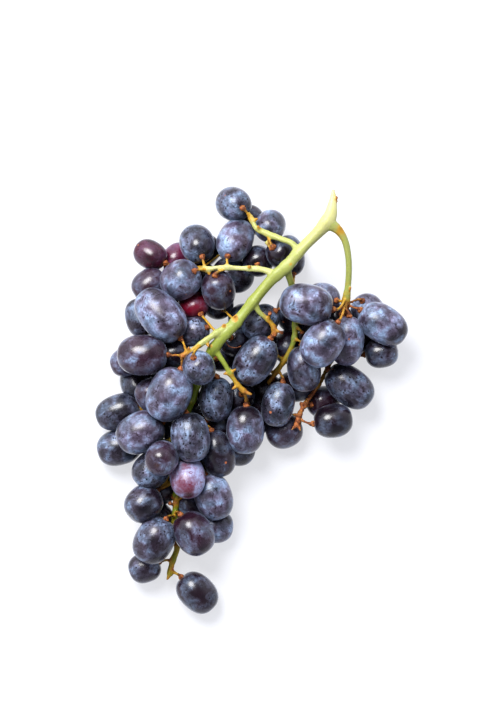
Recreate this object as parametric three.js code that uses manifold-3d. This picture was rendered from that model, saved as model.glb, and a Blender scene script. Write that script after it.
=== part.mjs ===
// A bunch of black table grapes lying on a flat surface.
// One branching stalk carries about ninety oval berries. Every berry hangs on its own small stem, whose flared
// end meets the berry at its stem end. Berries press lightly on each other and the lowest ones rest on the surface.
// Millimetres, +Z up. The surface is z = 0 and the cut end of the stalk points to +Y.

import * as THREE from "three";
import { mergeVertices } from "three/addons/utils/BufferGeometryUtils.js";
import Module from "manifold-3d";

const wasm = await Module();
wasm.setup();

// Clearances and contact
const GAP = 0.3; // free space between two separate pieces
const PRESS = 1.7; // how far two neighbouring berries flatten into each other
const SINK = 0.6; // depth of the flat spot on a berry that rests on the surface
const HOLD_VOLUME = 0.5; // what two berries of one cluster share at least, in cubic millimetres
const TINY = 1e-9; // what counts as no length

// How the berries settle among each other: in each round every berry is drawn back to its own place by a share of
// the way, then drawn to berries that it nearly touches and pushed away from what it overlaps. A berry that shows
// from above gives way less sideways.
const ROUNDS = 300;
const NEAR = 4; // the widest gap that closes
const CLOSING = 0.5; // the share of it that closes in a round
const DRAW_LEVEL = 0.15; // the share of the way back in each round, sideways
const DRAW_UPRIGHT = 0.04; // and up or down
const SEEN_SIDEWAYS = 0.25; // what is left of a sideways push on a berry that shows

const GROUND_WIDTH = 400;
const GROUND_DEPTH = 50;

// Faceting
const BERRY_SIDES = 9;
const BERRY_BANDS = 6;
const BERRY_BLUNTNESS = 2.3; // exponent of the outline: 2 is an ellipse, more is blunter
const FACET_SWELL = 1.02; // brings a nine-sided berry back to its true average width
const MAIN_SIDES = 8;
const SHOOT_SIDES = 6;
const STEM_SIDES = 4;
const STEM_STEPS = 3;
const STEM_LONG = 15; // a stem longer than this has a step more
const THIN = 0.1; // radius of a tube before its rings are widened
const WELD = 1e-4; // vertices nearer than this are one
const SLIVER = 0.08; // facets narrower than this are merged with their neighbours
const RING_SPACING = 9; // distance between the rings of the stalk's tubes

// The small stem of a berry, from its root to its flared end
const STEM_ROOT_R = 1.1;
const STEM_NECK_R = 0.85;
const STEM_FLARE_R = 2.1;
const STEM_STRAIGHT_START = 0.3; // share of the way on which the stem keeps its first direction
const STEM_STRAIGHT_END = 0.3; // and its last
const STEM_REACH = 40; // the furthest root that a berry's stem can grow from
const ROOT_SPACING = 2; // distance between the places where a small stem may leave a shoot
const CROSSING_COST = 30; // what a millimetre of crossing another berry counts, in millimetres of stem
const CROSSING_SHARES = [0.15, 0.3, 0.45, 0.6, 0.75, 0.9]; // where along the stem a crossing is looked for

// Main stem and side shoots: x, y, height, radius along each centre line, from the root outwards
const SHOOTS = {
  main: [
    [40.5, 106, 37, 0.7],
    [40, 99, 37.5, 1.9],
    [38.5, 92, 38, 2.6],
    [35, 87, 38, 2.9],
    [24, 75.5, 37.5, 2.6],
    [17.5, 68, 37, 2.9],
    [10, 61.5, 36.5, 2.7],
    [-6, 42, 36, 2.5],
    [-15, 32, 36, 2.5],
    [-20, 25.5, 33.5, 2.6],
    [-24.5, 17, 28.5, 2.1],
    [-28.5, 6, 24, 2],
    [-32.5, -5, 20.5, 1.9],
    [-36, -19, 18.5, 1.8],
    [-37.5, -34, 15.5, 1.6],
    [-38, -49, 13, 1.4],
    [-39, -64, 11.5, 1.3],
    [-37.5, -73, 11, 1.4],
    [-40, -80.5, 10, 1.4],
    [-41.5, -87.5, 9, 1.1],
  ],
  wing: [
    [38, 89, 38, 2.2],
    [42, 86.5, 37, 2.1],
    [46, 81, 35, 1.7],
    [48.2, 71, 32, 1.5],
    [48.2, 61, 28.5, 1.5],
    [47, 51, 25, 1.6],
    [45.5, 42, 18, 1.4],
    [42, 28, 11, 1.2],
    [38, 17, 11.5, 1.1],
    [33, 8, 14, 1],
    [27.5, 0, 16, 0.9],
    [24, -6, 17.5, 0.9],
    [22.5, -11, 18, 0.9],
  ],
  top: [
    [23, 74.5, 37.5, 1.6],
    [20, 79, 36, 1.4],
    [14, 81.5, 33, 1.4],
    [6.5, 84.5, 30.5, 1.3],
    [2, 87, 29, 1.2],
    [0, 91, 27.5, 1],
    [-2, 94.5, 26.5, 0.9],
  ],
  upperLeft: [
    [12, 63.5, 36.5, 1.9],
    [5, 66, 36, 1.4],
    [-6, 66.7, 35.5, 1.1],
    [-15, 67.2, 34.5, 1.1],
    [-23, 66.2, 32, 1.1],
    [-29, 67.5, 22, 0.9],
    [-36, 68.5, 18, 0.8],
    [-43, 67, 16, 0.8],
  ],
  left: [
    [-8, 39.5, 36, 1.7],
    [-15, 36, 37, 1.5],
    [-23.5, 30.5, 38, 1.3],
    [-29.5, 26, 38, 1.2],
    [-35.5, 22.5, 37.5, 1],
  ],
  underLeft: [
    [-27, 10, 25.5, 1.4],
    [-34, 12, 22, 1.2],
    [-41, 14, 20.5, 1],
    [-48, 16, 20, 0.9],
    [-52, 24, 20, 0.8],
  ],
  centre: [
    [-19, 27, 34, 1.5],
    [-14, 19.5, 34.5, 1.2],
    [-10.5, 13.5, 33, 1.1],
    [-7, 8.5, 31.5, 1.1],
    [-3.5, 5, 30, 1],
  ],
  twig: [
    [1, 49.5, 36, 1.5],
    [3.5, 45, 35, 1.2],
    [8, 41, 33, 1],
    [11, 37, 31.5, 1],
    [11.5, 33, 30.5, 0.9],
  ],
  middleRight: [
    [17, 67, 37, 1.9],
    [19.5, 59, 31, 1.5],
    [20.5, 52, 23, 1.4],
    [21.5, 41, 21.5, 1.4],
    [21, 31, 20.5, 1.3],
    [17.5, 23, 19, 1.2],
    [12.5, 15.5, 18, 1],
    [8, 9, 17.5, 0.9],
  ],
  lowerLeft: [
    [-34, -12, 20, 1.3],
    [-41, -19, 18, 1.1],
    [-49, -22, 17, 1],
    [-57, -25, 15.5, 0.8],
  ],
  farLeft: [
    [-30.5, 1, 24, 1.3],
    [-39, -4, 19, 1.1],
    [-48, -7, 17, 1],
    [-56, -3, 16, 0.8],
  ],
  tailLeft: [
    [-37.5, -38, 15, 1.1],
    [-43, -42, 16, 1],
    [-47, -44, 17, 0.8],
  ],
};

// Berries, from the top of the bunch to its tip: x, y, length, width, height of the centre, heading of the stem
// end (degrees from +X) and its tilt above level. Berries hidden under the others have no heading of their own:
// their stem end points at the nearest shoot. The height is where each berry would lie if its place were free.
const DARK = [
  [-8, 98, 20, 17, 22, -27, 60],
  [10, 89, 18, 15.5, 18, -120, 60],
  [15, 73, 18.5, 15.5, 24, 142, 50],
  [19, 73.5, 22, 15, 10, -80, 30],
  [-4.5, 92.5, 18, 16.5, 9],
  [3.5, 69, 18, 15.5, 19],
  [-27, 81, 21, 17.5, 24, -69, 48],
  [-9, 81.5, 24, 18, 26, -115, 42],
  [-34, 62, 21, 19.7, 30, 32, 40],
  [-15, 56, 22.5, 17, 24, 102, 49],
  [-8, 65, 22, 18, 13],
  [-51, 57.5, 18.5, 16.5, 14],
  [-29, 45.5, 17, 15, 20],
  [-46, 43, 30.5, 21, 31, -49, 5],
  [-55, 24, 25.5, 20.5, 27, 0, 8],
  [-42.5, 4, 27.8, 22, 32, 66, 5],
  [-32, 35.5, 18, 15, 26, 15, 30],
  [-56.5, 40.5, 20, 15, 12],
  [-60, 19.5, 21, 15, 11, 20, 0],
  [-57, 13.5, 20, 16, 8],
  [-50, -1, 17, 16, 15],
  [-26, 17.5, 18, 16, 37, 119, 50],
  [-38.5, 27, 18, 16, 20],
  [-3.5, -15, 24.5, 19, 22, 88, 8],
  [-18, 0.5, 23, 17, 20, 88, 15],
  [2, 20, 27, 19, 29, 55, 8],
  [3, 39.5, 21, 16, 18, 35, 20],
  [-15.5, -25.5, 24, 17, 12, 105, 5],
  [-11, -22, 20, 16, 8],
  [-11, 33, 18, 16, 20],
  [-6, 3.5, 18, 16, 8],
  [8, 6.5, 18, 16, 8],
  [21, 46.5, 21, 18, 8, 90, 10],
  [12.5, -1, 23, 16.5, 18, 78, 5],
  [26.5, 17, 23.5, 17, 20, 95, 5],
  [17, 28.5, 18, 16, 8],
  [25.5, 9, 20, 16, 8],
  [27, 48.5, 27, 20.5, 31, -10, 0],
  [35, 30, 25.5, 20, 31, 54, 8],
  [47.5, 32.5, 25.5, 17, 20, 85, 15],
  [65, 39, 26.5, 19, 22, 148, 5],
  [59, 46, 19, 17, 9, 120, 50],
  [63, 25, 17, 15.5, 8],
  [54.5, 28.5, 16, 14, 8],
  [35, 50.5, 18, 16, 12],
  [49, 8.5, 27, 19, 10, 142, 5],
  [40, -9.5, 20, 17.2, 9, 188, 5],
  [34.5, -2.5, 17, 16, 9],
  [16.5, -15, 18.5, 17.5, 8, 30, 30],
  [-56.5, -15, 25, 20.5, 26, 25, 5],
  [-67, -4.5, 23, 17.5, 14, 20, 5],
  [-66, -23.5, 23, 18.5, 9, 15, 5],
  [-45.5, -28, 20, 16.5, 28, 60, -65],
  [-50.5, -35.5, 20, 18, 19, 45, 0],
  [-30.5, -18, 25, 19.5, 30, 100, 0],
  [-20, -47.5, 24, 19, 18, 110, 5],
  [-44.5, -43, 18, 16, 10],
  [-37, -15, 18, 16, 8],
  [-53.5, -50, 19.5, 18.5, 14, 43, -16],
  [-27.5, -53, 18, 15, 9],
  [-49, -68.5, 24.5, 20, 12, 60, 5],
  [-28.5, -66.5, 23, 19.5, 12, 125, 5],
  [-26, -58, 19, 17, 8],
  [-47, -63, 18, 16, 8],
  [-54, -83.5, 16.5, 15.5, 7, 22, 5],
  [-27.5, -96, 22.7, 18.2, 8, 135, 5],
  [-12, 76, 18, 16, 8],
  [-25, 76, 18, 16, 8],
  [-26, 64, 18, 16, 12],
  [-17, 50, 18, 16, 8],
  [-4, 44, 17, 15, 8],
  [-44, 39, 19, 16, 12],
  [-46, 20, 18, 16, 9],
  [-36, 8, 18, 16, 14],
  [-27, 17, 18, 16, 12],
  [-16, 22, 18, 16, 8],
  [0, 17, 18, 16, 13],
  [8, 29, 18, 15, 8],
  [-24, -3, 18, 16, 8],
  [-14, -8, 18, 16, 8],
  [-2, -9, 18, 16, 8],
  [33, 27, 19, 16, 12],
  [44, 38, 18, 16, 8],
  [-25, -24, 18, 16, 10],
  [-54, -12, 19, 16, 9],
  [-44, -29, 18, 16, 9],
  [-31, -38, 18, 16, 8],
];

// Berries that ripened differently, each one in a colour of its own.
const RED = {
  berry_red_rim: [-51, 74, 17.5, 14.5, 16, -30, 16],
  berry_red_upper: [-38, 72.5, 16, 14, 12, -135, 20],
  berry_red_lower: [-39, 53.5, 19, 16, 12],
};
const BLUSH = { berry_blush: [-31, -39, 22, 18, 26, 95, -35] };

// The middle of each cluster of dark berries that hold together. A berry belongs to the cluster whose middle
// it reaches by the shortest way from berry to touching berry.
const CLUSTERS = {
  berries_top: [-2, 90, 15],
  berries_upper_left: [-16, 62, 20],
  berries_left_rim: [-52, 50, 20],
  berries_left: [-50, 20, 20],
  berries_centre: [-12, 5, 15],
  berries_upper_centre: [0, 40, 15],
  berries_middle_right: [22, 12, 15],
  berries_right_wing: [40, 40, 20],
  berries_wing_end: [64, 36, 15],
  berries_lower_left: [-60, -15, 20],
  berries_lower: [-28, -22, 20],
  berries_tail_top: [-40, -48, 15],
  berries_tail: [-38, -66, 10],
  berries_over_stem: [-26.8, 17, 40],
  berry_end: [-27.5, -96, 9],
};

const DARK_SKIN = new THREE.MeshStandardMaterial({ color: 0x2c2a3f, roughness: 0.45, metalness: 0 });
const RED_SKIN = new THREE.MeshStandardMaterial({ color: 0x6b1f34, roughness: 0.35, metalness: 0 });
const BLUSH_SKIN = new THREE.MeshStandardMaterial({ color: 0x8f7d9c, roughness: 0.5, metalness: 0 });
const STALK = new THREE.MeshStandardMaterial({ color: 0xa9bd4b, roughness: 0.55, metalness: 0 });

// The shortest way from one straight stretch, q0 to q1, to another, p0 to p1.
function shortestWay(p0, p1, q0, q1) {
  const d1 = p1.clone().sub(p0);
  const d2 = q1.clone().sub(q0);
  const r = p0.clone().sub(q0);
  const a = d1.dot(d1);
  const e = d2.dot(d2);
  const f = d2.dot(r);
  const c = d1.dot(r);
  const b = d1.dot(d2);
  const denominator = a * e - b * b;
  let s = denominator > TINY ? THREE.MathUtils.clamp((b * f - c * e) / denominator, 0, 1) : 0;
  const t = THREE.MathUtils.clamp((b * s + f) / Math.max(e, TINY), 0, 1);
  s = THREE.MathUtils.clamp((b * t - c) / Math.max(a, TINY), 0, 1);
  return r.addScaledVector(d1, s).addScaledVector(d2, -t);
}

// The straight stretches of every shoot, with the mean radius of each.
const stretches = Object.values(SHOOTS).flatMap((points) =>
  points.slice(1).map((end, i) => ({
    from: new THREE.Vector3(...points[i].slice(0, 3)),
    to: new THREE.Vector3(...end.slice(0, 3)),
    radius: (points[i][3] + end[3]) / 2,
  })),
);

// The unit vector from a point to the nearest place on any shoot.
function towardsNearestShoot(point) {
  let nearest = null;
  for (const { from, to } of stretches) {
    const place = new THREE.Line3(from, to).closestPointToPoint(point, true, new THREE.Vector3());
    if (!nearest || place.distanceTo(point) < nearest.distanceTo(point)) nearest = place;
  }
  return nearest.clone().sub(point).normalize();
}

// One berry from its row: its size, its centre and the direction of its stem end.
function readBerry([x, y, length, width, height, heading, tilt]) {
  const radius = width / 2;
  const centre = new THREE.Vector3(x, y, height);
  const towards = new THREE.Vector3();
  const seen = heading !== undefined;
  if (seen) {
    const [h, t] = [THREE.MathUtils.degToRad(heading), THREE.MathUtils.degToRad(tilt)];
    towards.set(Math.cos(t) * Math.cos(h), Math.cos(t) * Math.sin(h), Math.sin(t));
  } else {
    towards.copy(towardsNearestShoot(centre));
  }
  return { length, radius, core: (length - width) / 2, centre, towards, seen };
}

const coreEnd = (berry, side) => berry.centre.clone().addScaledVector(berry.towards, side * berry.core);

// The way from a stretch to the core of a berry.
const wayToBerry = (berry, from, to) => shortestWay(coreEnd(berry, -1), coreEnd(berry, 1), from, to);

// How deep two berries overlap.
const overlap = (a, b) => a.radius + b.radius - wayToBerry(a, coreEnd(b, -1), coreEnd(b, 1)).length();

const lowestCentre = (berry) => berry.radius + berry.core * Math.abs(berry.towards.z) - SINK;

// Moves a berry along a way by a distance, less sideways than up or down if it shows from above.
function push(berry, way, distance) {
  const step = way.clone().setLength(distance);
  const sideways = berry.seen ? SEEN_SIDEWAYS : 1;
  berry.centre.add(step.multiply(new THREE.Vector3(sideways, sideways, 1)));
}

function settle(berries) {
  const homes = berries.map((berry) => berry.centre.clone());
  for (let round = 0; round < ROUNDS; round++) {
    berries.forEach((berry, i) => {
      const back = homes[i].clone().sub(berry.centre);
      berry.centre.add(back.multiply(new THREE.Vector3(DRAW_LEVEL, DRAW_LEVEL, DRAW_UPRIGHT)));
    });
    for (let i = 0; i < berries.length; i++) {
      for (let j = 0; j < i; j++) {
        const [a, b] = [berries[i], berries[j]];
        if (a.centre.distanceTo(b.centre) > (a.length + b.length) / 2 + NEAR) continue;
        const way = wayToBerry(a, coreEnd(b, -1), coreEnd(b, 1));
        const excess = a.radius + b.radius - PRESS - way.length();
        if (excess < -NEAR) continue;
        const share = excess > 0 ? 1 : CLOSING;
        push(a, way, (share * excess) / 2);
        push(b, way, (-share * excess) / 2);
      }
    }
    for (const berry of berries) {
      for (const { from, to, radius } of stretches) {
        const way = wayToBerry(berry, from, to);
        const excess = berry.radius + radius + GAP - way.length();
        if (excess > 0) push(berry, way, excess);
      }
      berry.centre.z = Math.max(berry.centre.z, lowestCentre(berry));
    }
  }
}

// A closed solid from a geometry, once the vertices that share a place are one.
function solidOf(geometry) {
  const bare = new THREE.BufferGeometry();
  bare.setAttribute("position", geometry.getAttribute("position"));
  bare.setIndex(geometry.getIndex());
  const merged = mergeVertices(bare, WELD);
  const mesh = new wasm.Mesh({
    numProp: 3,
    vertProperties: Float32Array.from(merged.getAttribute("position").array),
    triVerts: Uint32Array.from(merged.getIndex().array),
  });
  return new wasm.Manifold(mesh);
}

function geometryOf(solid) {
  const mesh = solid.getMesh();
  const positions = new Float32Array(mesh.numVert * 3);
  for (let i = 0; i < mesh.numVert; i++) {
    positions.set(mesh.vertProperties.subarray(i * mesh.numProp, i * mesh.numProp + 3), i * 3);
  }
  const geometry = new THREE.BufferGeometry();
  geometry.setAttribute("position", new THREE.BufferAttribute(positions, 3));
  geometry.setIndex(new THREE.BufferAttribute(mesh.triVerts, 1));
  geometry.computeVertexNormals();
  return geometry;
}

// The blunt oval of a berry, its stem end along its own direction, grown on all sides by extra.
function berrySolid(berry, extra = 0) {
  const geometry = new THREE.SphereGeometry(1, BERRY_SIDES, BERRY_BANDS);
  const position = geometry.getAttribute("position");
  const point = new THREE.Vector3();
  const across = berry.radius * FACET_SWELL + extra;
  const along = berry.length / 2 + extra;
  for (let i = 0; i < position.count; i++) {
    point.fromBufferAttribute(position, i);
    const ring = Math.hypot(point.x, point.z);
    const sum = ring ** BERRY_BLUNTNESS + Math.abs(point.y) ** BERRY_BLUNTNESS;
    point.multiplyScalar(sum ** (-1 / BERRY_BLUNTNESS));
    position.setXYZ(i, point.x * across, point.y * along, point.z * across);
  }
  const turn = new THREE.Quaternion().setFromUnitVectors(new THREE.Vector3(0, 1, 0), berry.towards);
  geometry.applyQuaternion(turn);
  geometry.translate(berry.centre.x, berry.centre.y, berry.centre.z);
  return solidOf(geometry);
}

// A closed tube along a curve. radiusAt gives its radius at each share of the length: the tube is extruded thin,
// then each of its rings is widened about its own centre.
function tubeSolid(curve, steps, sides, radiusAt) {
  const corners = Array.from({ length: sides }, (_, k) => (2 * Math.PI * k) / sides);
  const section = new THREE.Shape(
    corners.map((angle) => new THREE.Vector2(THIN * Math.cos(angle), THIN * Math.sin(angle))),
  );
  const geometry = new THREE.ExtrudeGeometry(section, { steps, extrudePath: curve });
  const centres = curve.getSpacedPoints(steps);
  const position = geometry.getAttribute("position");
  const point = new THREE.Vector3();
  for (let i = 0; i < position.count; i++) {
    point.fromBufferAttribute(position, i);
    const distances = centres.map((centre) => centre.distanceTo(point));
    const ring = distances.indexOf(Math.min(...distances));
    point.sub(centres[ring]).multiplyScalar(radiusAt(ring / steps) / THIN).add(centres[ring]);
    position.setXYZ(i, point.x, point.y, point.z);
  }
  return solidOf(geometry);
}

// One shoot as a tapering tube, grown on all sides by extra.
function shootSolid(points, sides, extra) {
  const curve = new THREE.CatmullRomCurve3(points.map((p) => new THREE.Vector3(...p.slice(0, 3))));
  const steps = Math.round(curve.getLength() / RING_SPACING);
  const radiusAt = (share) => {
    const at = curve.getUtoTmapping(share) * (points.length - 1);
    const i = Math.min(Math.floor(at), points.length - 2);
    return THREE.MathUtils.lerp(points[i][3], points[i + 1][3], at - i) + extra;
  };
  return tubeSolid(curve, steps, sides, radiusAt);
}

// Every place where a small stem may leave a shoot.
const roots = stretches.flatMap(({ from, to }) => {
  const count = Math.max(1, Math.round(from.distanceTo(to) / ROOT_SPACING));
  return Array.from({ length: count }, (_, i) => from.clone().lerp(to, (i + 0.5) / count));
});

// The way of a small stem: out of its root, then straight into the berry's stem end.
function stemCurve(berry, root) {
  const end = berry.centre.clone().addScaledVector(berry.towards, berry.length / 2 + GAP);
  const reach = root.distanceTo(end) * STEM_STRAIGHT_END;
  const early = root.clone().lerp(end, STEM_STRAIGHT_START);
  const late = end.clone().addScaledVector(berry.towards, reach);
  return new THREE.CubicBezierCurve3(root, early, late, end);
}

// How deep a small stem would cut into other berries, summed along it.
function crossing(berry, curve, berries) {
  let depth = 0;
  for (const share of CROSSING_SHARES) {
    const point = curve.getPoint(share);
    for (const other of berries) {
      if (other.centre.distanceTo(point) > other.length / 2 + STEM_ROOT_R) continue;
      const inside = other.radius + STEM_NECK_R - wayToBerry(other, point, point).length();
      if (inside > 0) depth += inside;
    }
  }
  return depth;
}

// The small stem of a berry grows from the nearest root that it can reach past the other berries. A hidden berry
// turns its stem end straight to that root.
function chooseStem(berry, berries) {
  let best = null;
  for (const root of roots) {
    if (root.distanceTo(berry.centre) > STEM_REACH) continue;
    const towards = berry.seen ? berry.towards : root.clone().sub(berry.centre).normalize();
    const curve = stemCurve({ ...berry, towards }, root);
    const cost = curve.getLength() + CROSSING_COST * crossing(berry, curve, berries);
    if (!best || cost < best.cost) best = { cost, curve, towards };
  }
  berry.towards.copy(best.towards);
  return best.curve;
}

function stemSolid(curve, extra) {
  const steps = curve.getLength() > STEM_LONG ? STEM_STEPS + 1 : STEM_STEPS;
  const radiusAt = (share) => {
    if (share === 1) return STEM_FLARE_R + extra;
    return (share === 0 ? STEM_ROOT_R : STEM_NECK_R) + extra;
  };
  return tubeSolid(curve, steps, STEM_SIDES, radiusAt);
}

function stalkSolid(stems, extra = 0) {
  const parts = Object.entries(SHOOTS).map(([name, points]) =>
    shootSolid(points, name === "main" ? MAIN_SIDES : SHOOT_SIDES, extra),
  );
  parts.push(...stems.map((curve) => stemSolid(curve, extra)));
  return parts.reduce((whole, part) => whole.add(part));
}

// What lies under the surface: it trims the flat spots of the lowest berries.
function groundSolid() {
  const geometry = new THREE.BoxGeometry(GROUND_WIDTH, GROUND_WIDTH, GROUND_DEPTH);
  geometry.translate(0, 0, -GROUND_DEPTH / 2);
  return solidOf(geometry);
}

// The largest body of a solid, without any loose scrap that a cut leaves.
function mainBody(solid) {
  return solid.decompose().reduce((most, body) => (body.volume() > most.volume() ? body : most));
}

// Shares the dark berries out among the clusters: the berry nearest to each middle spreads its cluster's name
// from berry to touching berry, and every berry keeps the name that reached it by the shortest way.
function clusterBerries(dark) {
  const solids = dark.map((berry) => berrySolid(berry));
  const touches = dark.map((a, i) =>
    dark.map((b, j) => i !== j && overlap(a, b) > 0 && solids[i].intersect(solids[j]).volume() > HOLD_VOLUME),
  );
  const way = dark.map(() => Infinity);
  const names = dark.map(() => null);
  for (const [name, middle] of Object.entries(CLUSTERS)) {
    const place = new THREE.Vector3(...middle);
    const offsets = dark.map((berry) => berry.centre.distanceTo(place));
    const heart = offsets.indexOf(Math.min(...offsets));
    way[heart] = 0;
    names[heart] = name;
  }
  for (let changed = true; changed; ) {
    changed = false;
    for (let i = 0; i < dark.length; i++) {
      for (let j = 0; j < dark.length; j++) {
        const longer = way[i] + dark[i].centre.distanceTo(dark[j].centre);
        if (!touches[i][j] || longer >= way[j]) continue;
        way[j] = longer;
        names[j] = names[i];
        changed = true;
      }
    }
  }
  return names;
}

const berries = [...DARK, ...Object.values(RED), ...Object.values(BLUSH)].map(readBerry);
settle(berries);
const stems = berries.map((berry) => chooseStem(berry, berries));
const nodes = [...clusterBerries(berries.slice(0, DARK.length)), ...Object.keys(RED), ...Object.keys(BLUSH)];
const skins = new Map(Object.keys(CLUSTERS).map((name) => [name, DARK_SKIN]));
for (const name of Object.keys(RED)) skins.set(name, RED_SKIN);
for (const name of Object.keys(BLUSH)) skins.set(name, BLUSH_SKIN);

const group = new THREE.Group();

function addNode(name, solid, material) {
  const body = mainBody(solid.asOriginal().simplify(SLIVER));
  const mesh = new THREE.Mesh(geometryOf(body), material);
  mesh.name = name;
  group.add(mesh);
}

addNode("stalk", stalkSolid(stems), STALK);

let taken = stalkSolid(stems, GAP).add(stalkSolid(stems)).add(groundSolid());
for (const [name, skin] of skins) {
  const own = berries.filter((_, i) => nodes[i] === name);
  const solid = own.map((berry) => berrySolid(berry)).reduce((whole, part) => whole.add(part));
  addNode(name, solid.subtract(taken), skin);
  taken = own.reduce((whole, berry) => whole.add(berrySolid(berry, GAP)), taken);
}

export default group;
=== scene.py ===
# %% [markdown]
# # A bunch of black table grapes
# The bunch lies on a white surface and is seen from straight above. It has one green, branching stalk and
# 91 oval berries. Most are blue-black under a waxy, pale blue bloom, three are still wine red and one is
# lilac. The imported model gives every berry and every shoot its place. This lesson builds the finer pieces
# around it: smooth berries that flatten where they press on each other, and a stalk with swollen joints and
# flared berry ends.

import math

import bpy
import numpy as np
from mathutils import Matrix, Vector
from mathutils.bvhtree import BVHTree
from mathutils.kdtree import KDTree


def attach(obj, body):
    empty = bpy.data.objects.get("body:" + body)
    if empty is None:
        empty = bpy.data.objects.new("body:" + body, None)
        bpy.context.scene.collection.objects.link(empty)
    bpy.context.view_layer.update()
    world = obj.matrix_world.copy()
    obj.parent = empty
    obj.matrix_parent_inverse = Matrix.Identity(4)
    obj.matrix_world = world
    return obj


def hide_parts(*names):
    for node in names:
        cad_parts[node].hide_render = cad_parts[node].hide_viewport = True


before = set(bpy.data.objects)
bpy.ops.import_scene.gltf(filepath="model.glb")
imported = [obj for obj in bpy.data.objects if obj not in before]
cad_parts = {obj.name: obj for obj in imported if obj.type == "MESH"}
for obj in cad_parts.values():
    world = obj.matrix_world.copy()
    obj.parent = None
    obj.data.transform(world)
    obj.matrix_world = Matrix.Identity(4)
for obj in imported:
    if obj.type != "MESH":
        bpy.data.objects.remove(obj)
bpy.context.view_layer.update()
MM = 0.001  # one millimetre in metres

# %% [markdown]
# ## The camera
# The photograph looks straight down, and the bunch shows no strong perspective. A long lens from three
# metres gives that flat look. Half a millimetre of the bunch is one pixel, so the height of the picture
# fixes the distance.

# %% Camera straight above the bunch
PHOTO_HEIGHT = 719  # pixels
MM_PER_PIXEL = 0.5
LENS = 300  # mm of focal length
SENSOR = 36  # mm, along the long side of the picture
VIEW_CENTRE = (-6.0, 21.25)  # mm, the place in the middle of the picture
SHARP_LEVEL = 25  # mm above the surface, where half a millimetre is exactly one pixel

camera_data = bpy.data.cameras.new("camera")
camera_data.lens = LENS
camera_data.sensor_width = SENSOR
camera_data.clip_end = 20
camera = bpy.data.objects.new("camera", camera_data)
bpy.context.scene.collection.objects.link(camera)
camera_height = PHOTO_HEIGHT * MM_PER_PIXEL * LENS / SENSOR + SHARP_LEVEL
camera.location = (VIEW_CENTRE[0] * MM, VIEW_CENTRE[1] * MM, camera_height * MM)
bpy.context.scene.camera = camera
print("camera height in mm:", round(camera_height))

# %% [markdown]
# ## Colours and nodes
# Colours are written as sRGB hex values, and one function turns them to the linear values that a shader
# needs. A second one builds every net in this lesson, for the world and the materials: it adds a node, sets
# its options, fills its inputs, by name or in their order, with values or with the outputs of other nodes,
# and gives back the output that the next node needs.

# %% One function for colours, one for nodes
SHARE, FIRST, SECOND = 0, 6, 7  # the inputs of a Mix node that mixes colours
COLOURS = {"out": 2, "data_type": "RGBA"}  # its output and its setting


def linear(hex_colour):
    """The linear red, green, blue and alpha of an sRGB hex colour."""
    parts = [int(hex_colour[i : i + 2], 16) / 255 for i in (1, 3, 5)]
    return [v / 12.92 if v <= 0.04045 else ((v + 0.055) / 1.055) ** 2.4 for v in parts] + [1.0]


def add(tree, kind, inputs=(), out=0, **settings):
    """Adds a node with its settings and links to a tree, and returns one of its outputs if it has any."""
    made = tree.nodes.new("ShaderNode" + kind)
    for name, value in settings.items():
        setattr(made, name, value)
    for name, value in inputs.items() if isinstance(inputs, dict) else enumerate(inputs):
        if isinstance(value, bpy.types.NodeSocket):
            tree.links.new(value, made.inputs[name])
        else:
            made.inputs[name].default_value = value
    return made.outputs[out] if made.outputs else None


print("middle grey, linear:", round(linear("#808080")[0], 3))

# %% [markdown]
# ## Light
# The photograph is bright: a white table in daylight, with a soft shadow to the lower right. A white world
# lights everything, and one soft round light from the upper left gives the berries their shine and the
# shadow. Straight above, where a real room has a ceiling and the photographer, the world is dimmer. So the
# tops of the berries stay dark, and their rims, which mirror the bright walls, are light. The plain view
# transform keeps white white, and its look gives the strong contrast of the photograph.

# %% White world with a dimmer top
WALL_STRENGTH = 1.25
CEILING_STRENGTH = 0.35
CEILING_EDGE = (0.5, 0.95)  # upward parts of the aim, where the wall ends and where the ceiling is full
WINDOW_SIDE = (-0.5, 0.85, 0.0)  # the way to the brighter side of the room
SIDE_SHARES = (0.45, 1.55)  # of the strength, on the darkest and on the brightest side

world = bpy.data.worlds.new("white_room")
world.use_nodes = True
tree = world.node_tree
aim = add(tree, "TexCoord", out="Generated")
upward = add(tree, "SeparateXYZ", (aim,), out="Z")
height_range = (upward, *CEILING_EDGE, WALL_STRENGTH, CEILING_STRENGTH)
strength = add(tree, "MapRange", height_range, interpolation_type="SMOOTHSTEP")
side = add(tree, "VectorMath", (aim, WINDOW_SIDE), out="Value", operation="DOT_PRODUCT")
side_share = add(tree, "MapRange", (side, -1.0, 1.0, *SIDE_SHARES))
strength = add(tree, "Math", (strength, side_share), operation="MULTIPLY")
background = tree.nodes["Background"]
background.inputs["Color"].default_value = linear("#ebf0ff")
tree.links.new(strength, background.inputs["Strength"])
scene = bpy.context.scene
scene.world = world
scene.view_settings.view_transform = "Standard"
scene.view_settings.look = "Medium High Contrast"
print("view transform:", scene.view_settings.view_transform)

# %% One soft light from the upper left
KEY_PLACE = Vector((-0.55, 1.0, 1.6))  # metres from the middle of the bunch
KEY_SIZE = 1.05  # metres across
KEY_WATTS = 58

key_data = bpy.data.lights.new("soft_key", "AREA")
key_data.shape = "DISK"
key_data.size = KEY_SIZE
key_data.energy = KEY_WATTS
key = bpy.data.objects.new("soft_key", key_data)
key.location = KEY_PLACE
key.rotation_mode = "QUATERNION"
key.rotation_quaternion = (-KEY_PLACE).to_track_quat("-Z", "Y")
scene.collection.objects.link(key)
print("key light distance in m:", round(KEY_PLACE.length, 2))

# %% [markdown]
# ## The table top
# In the photograph the surface is burnt out to white and even the shadow stays pale. A white acrylic plate
# with light under it gives that: it glows, and it sends back only a part of the light from above. A soft,
# large noise moves its roughness and its white a little. The table isn't part of the bunch.

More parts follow.
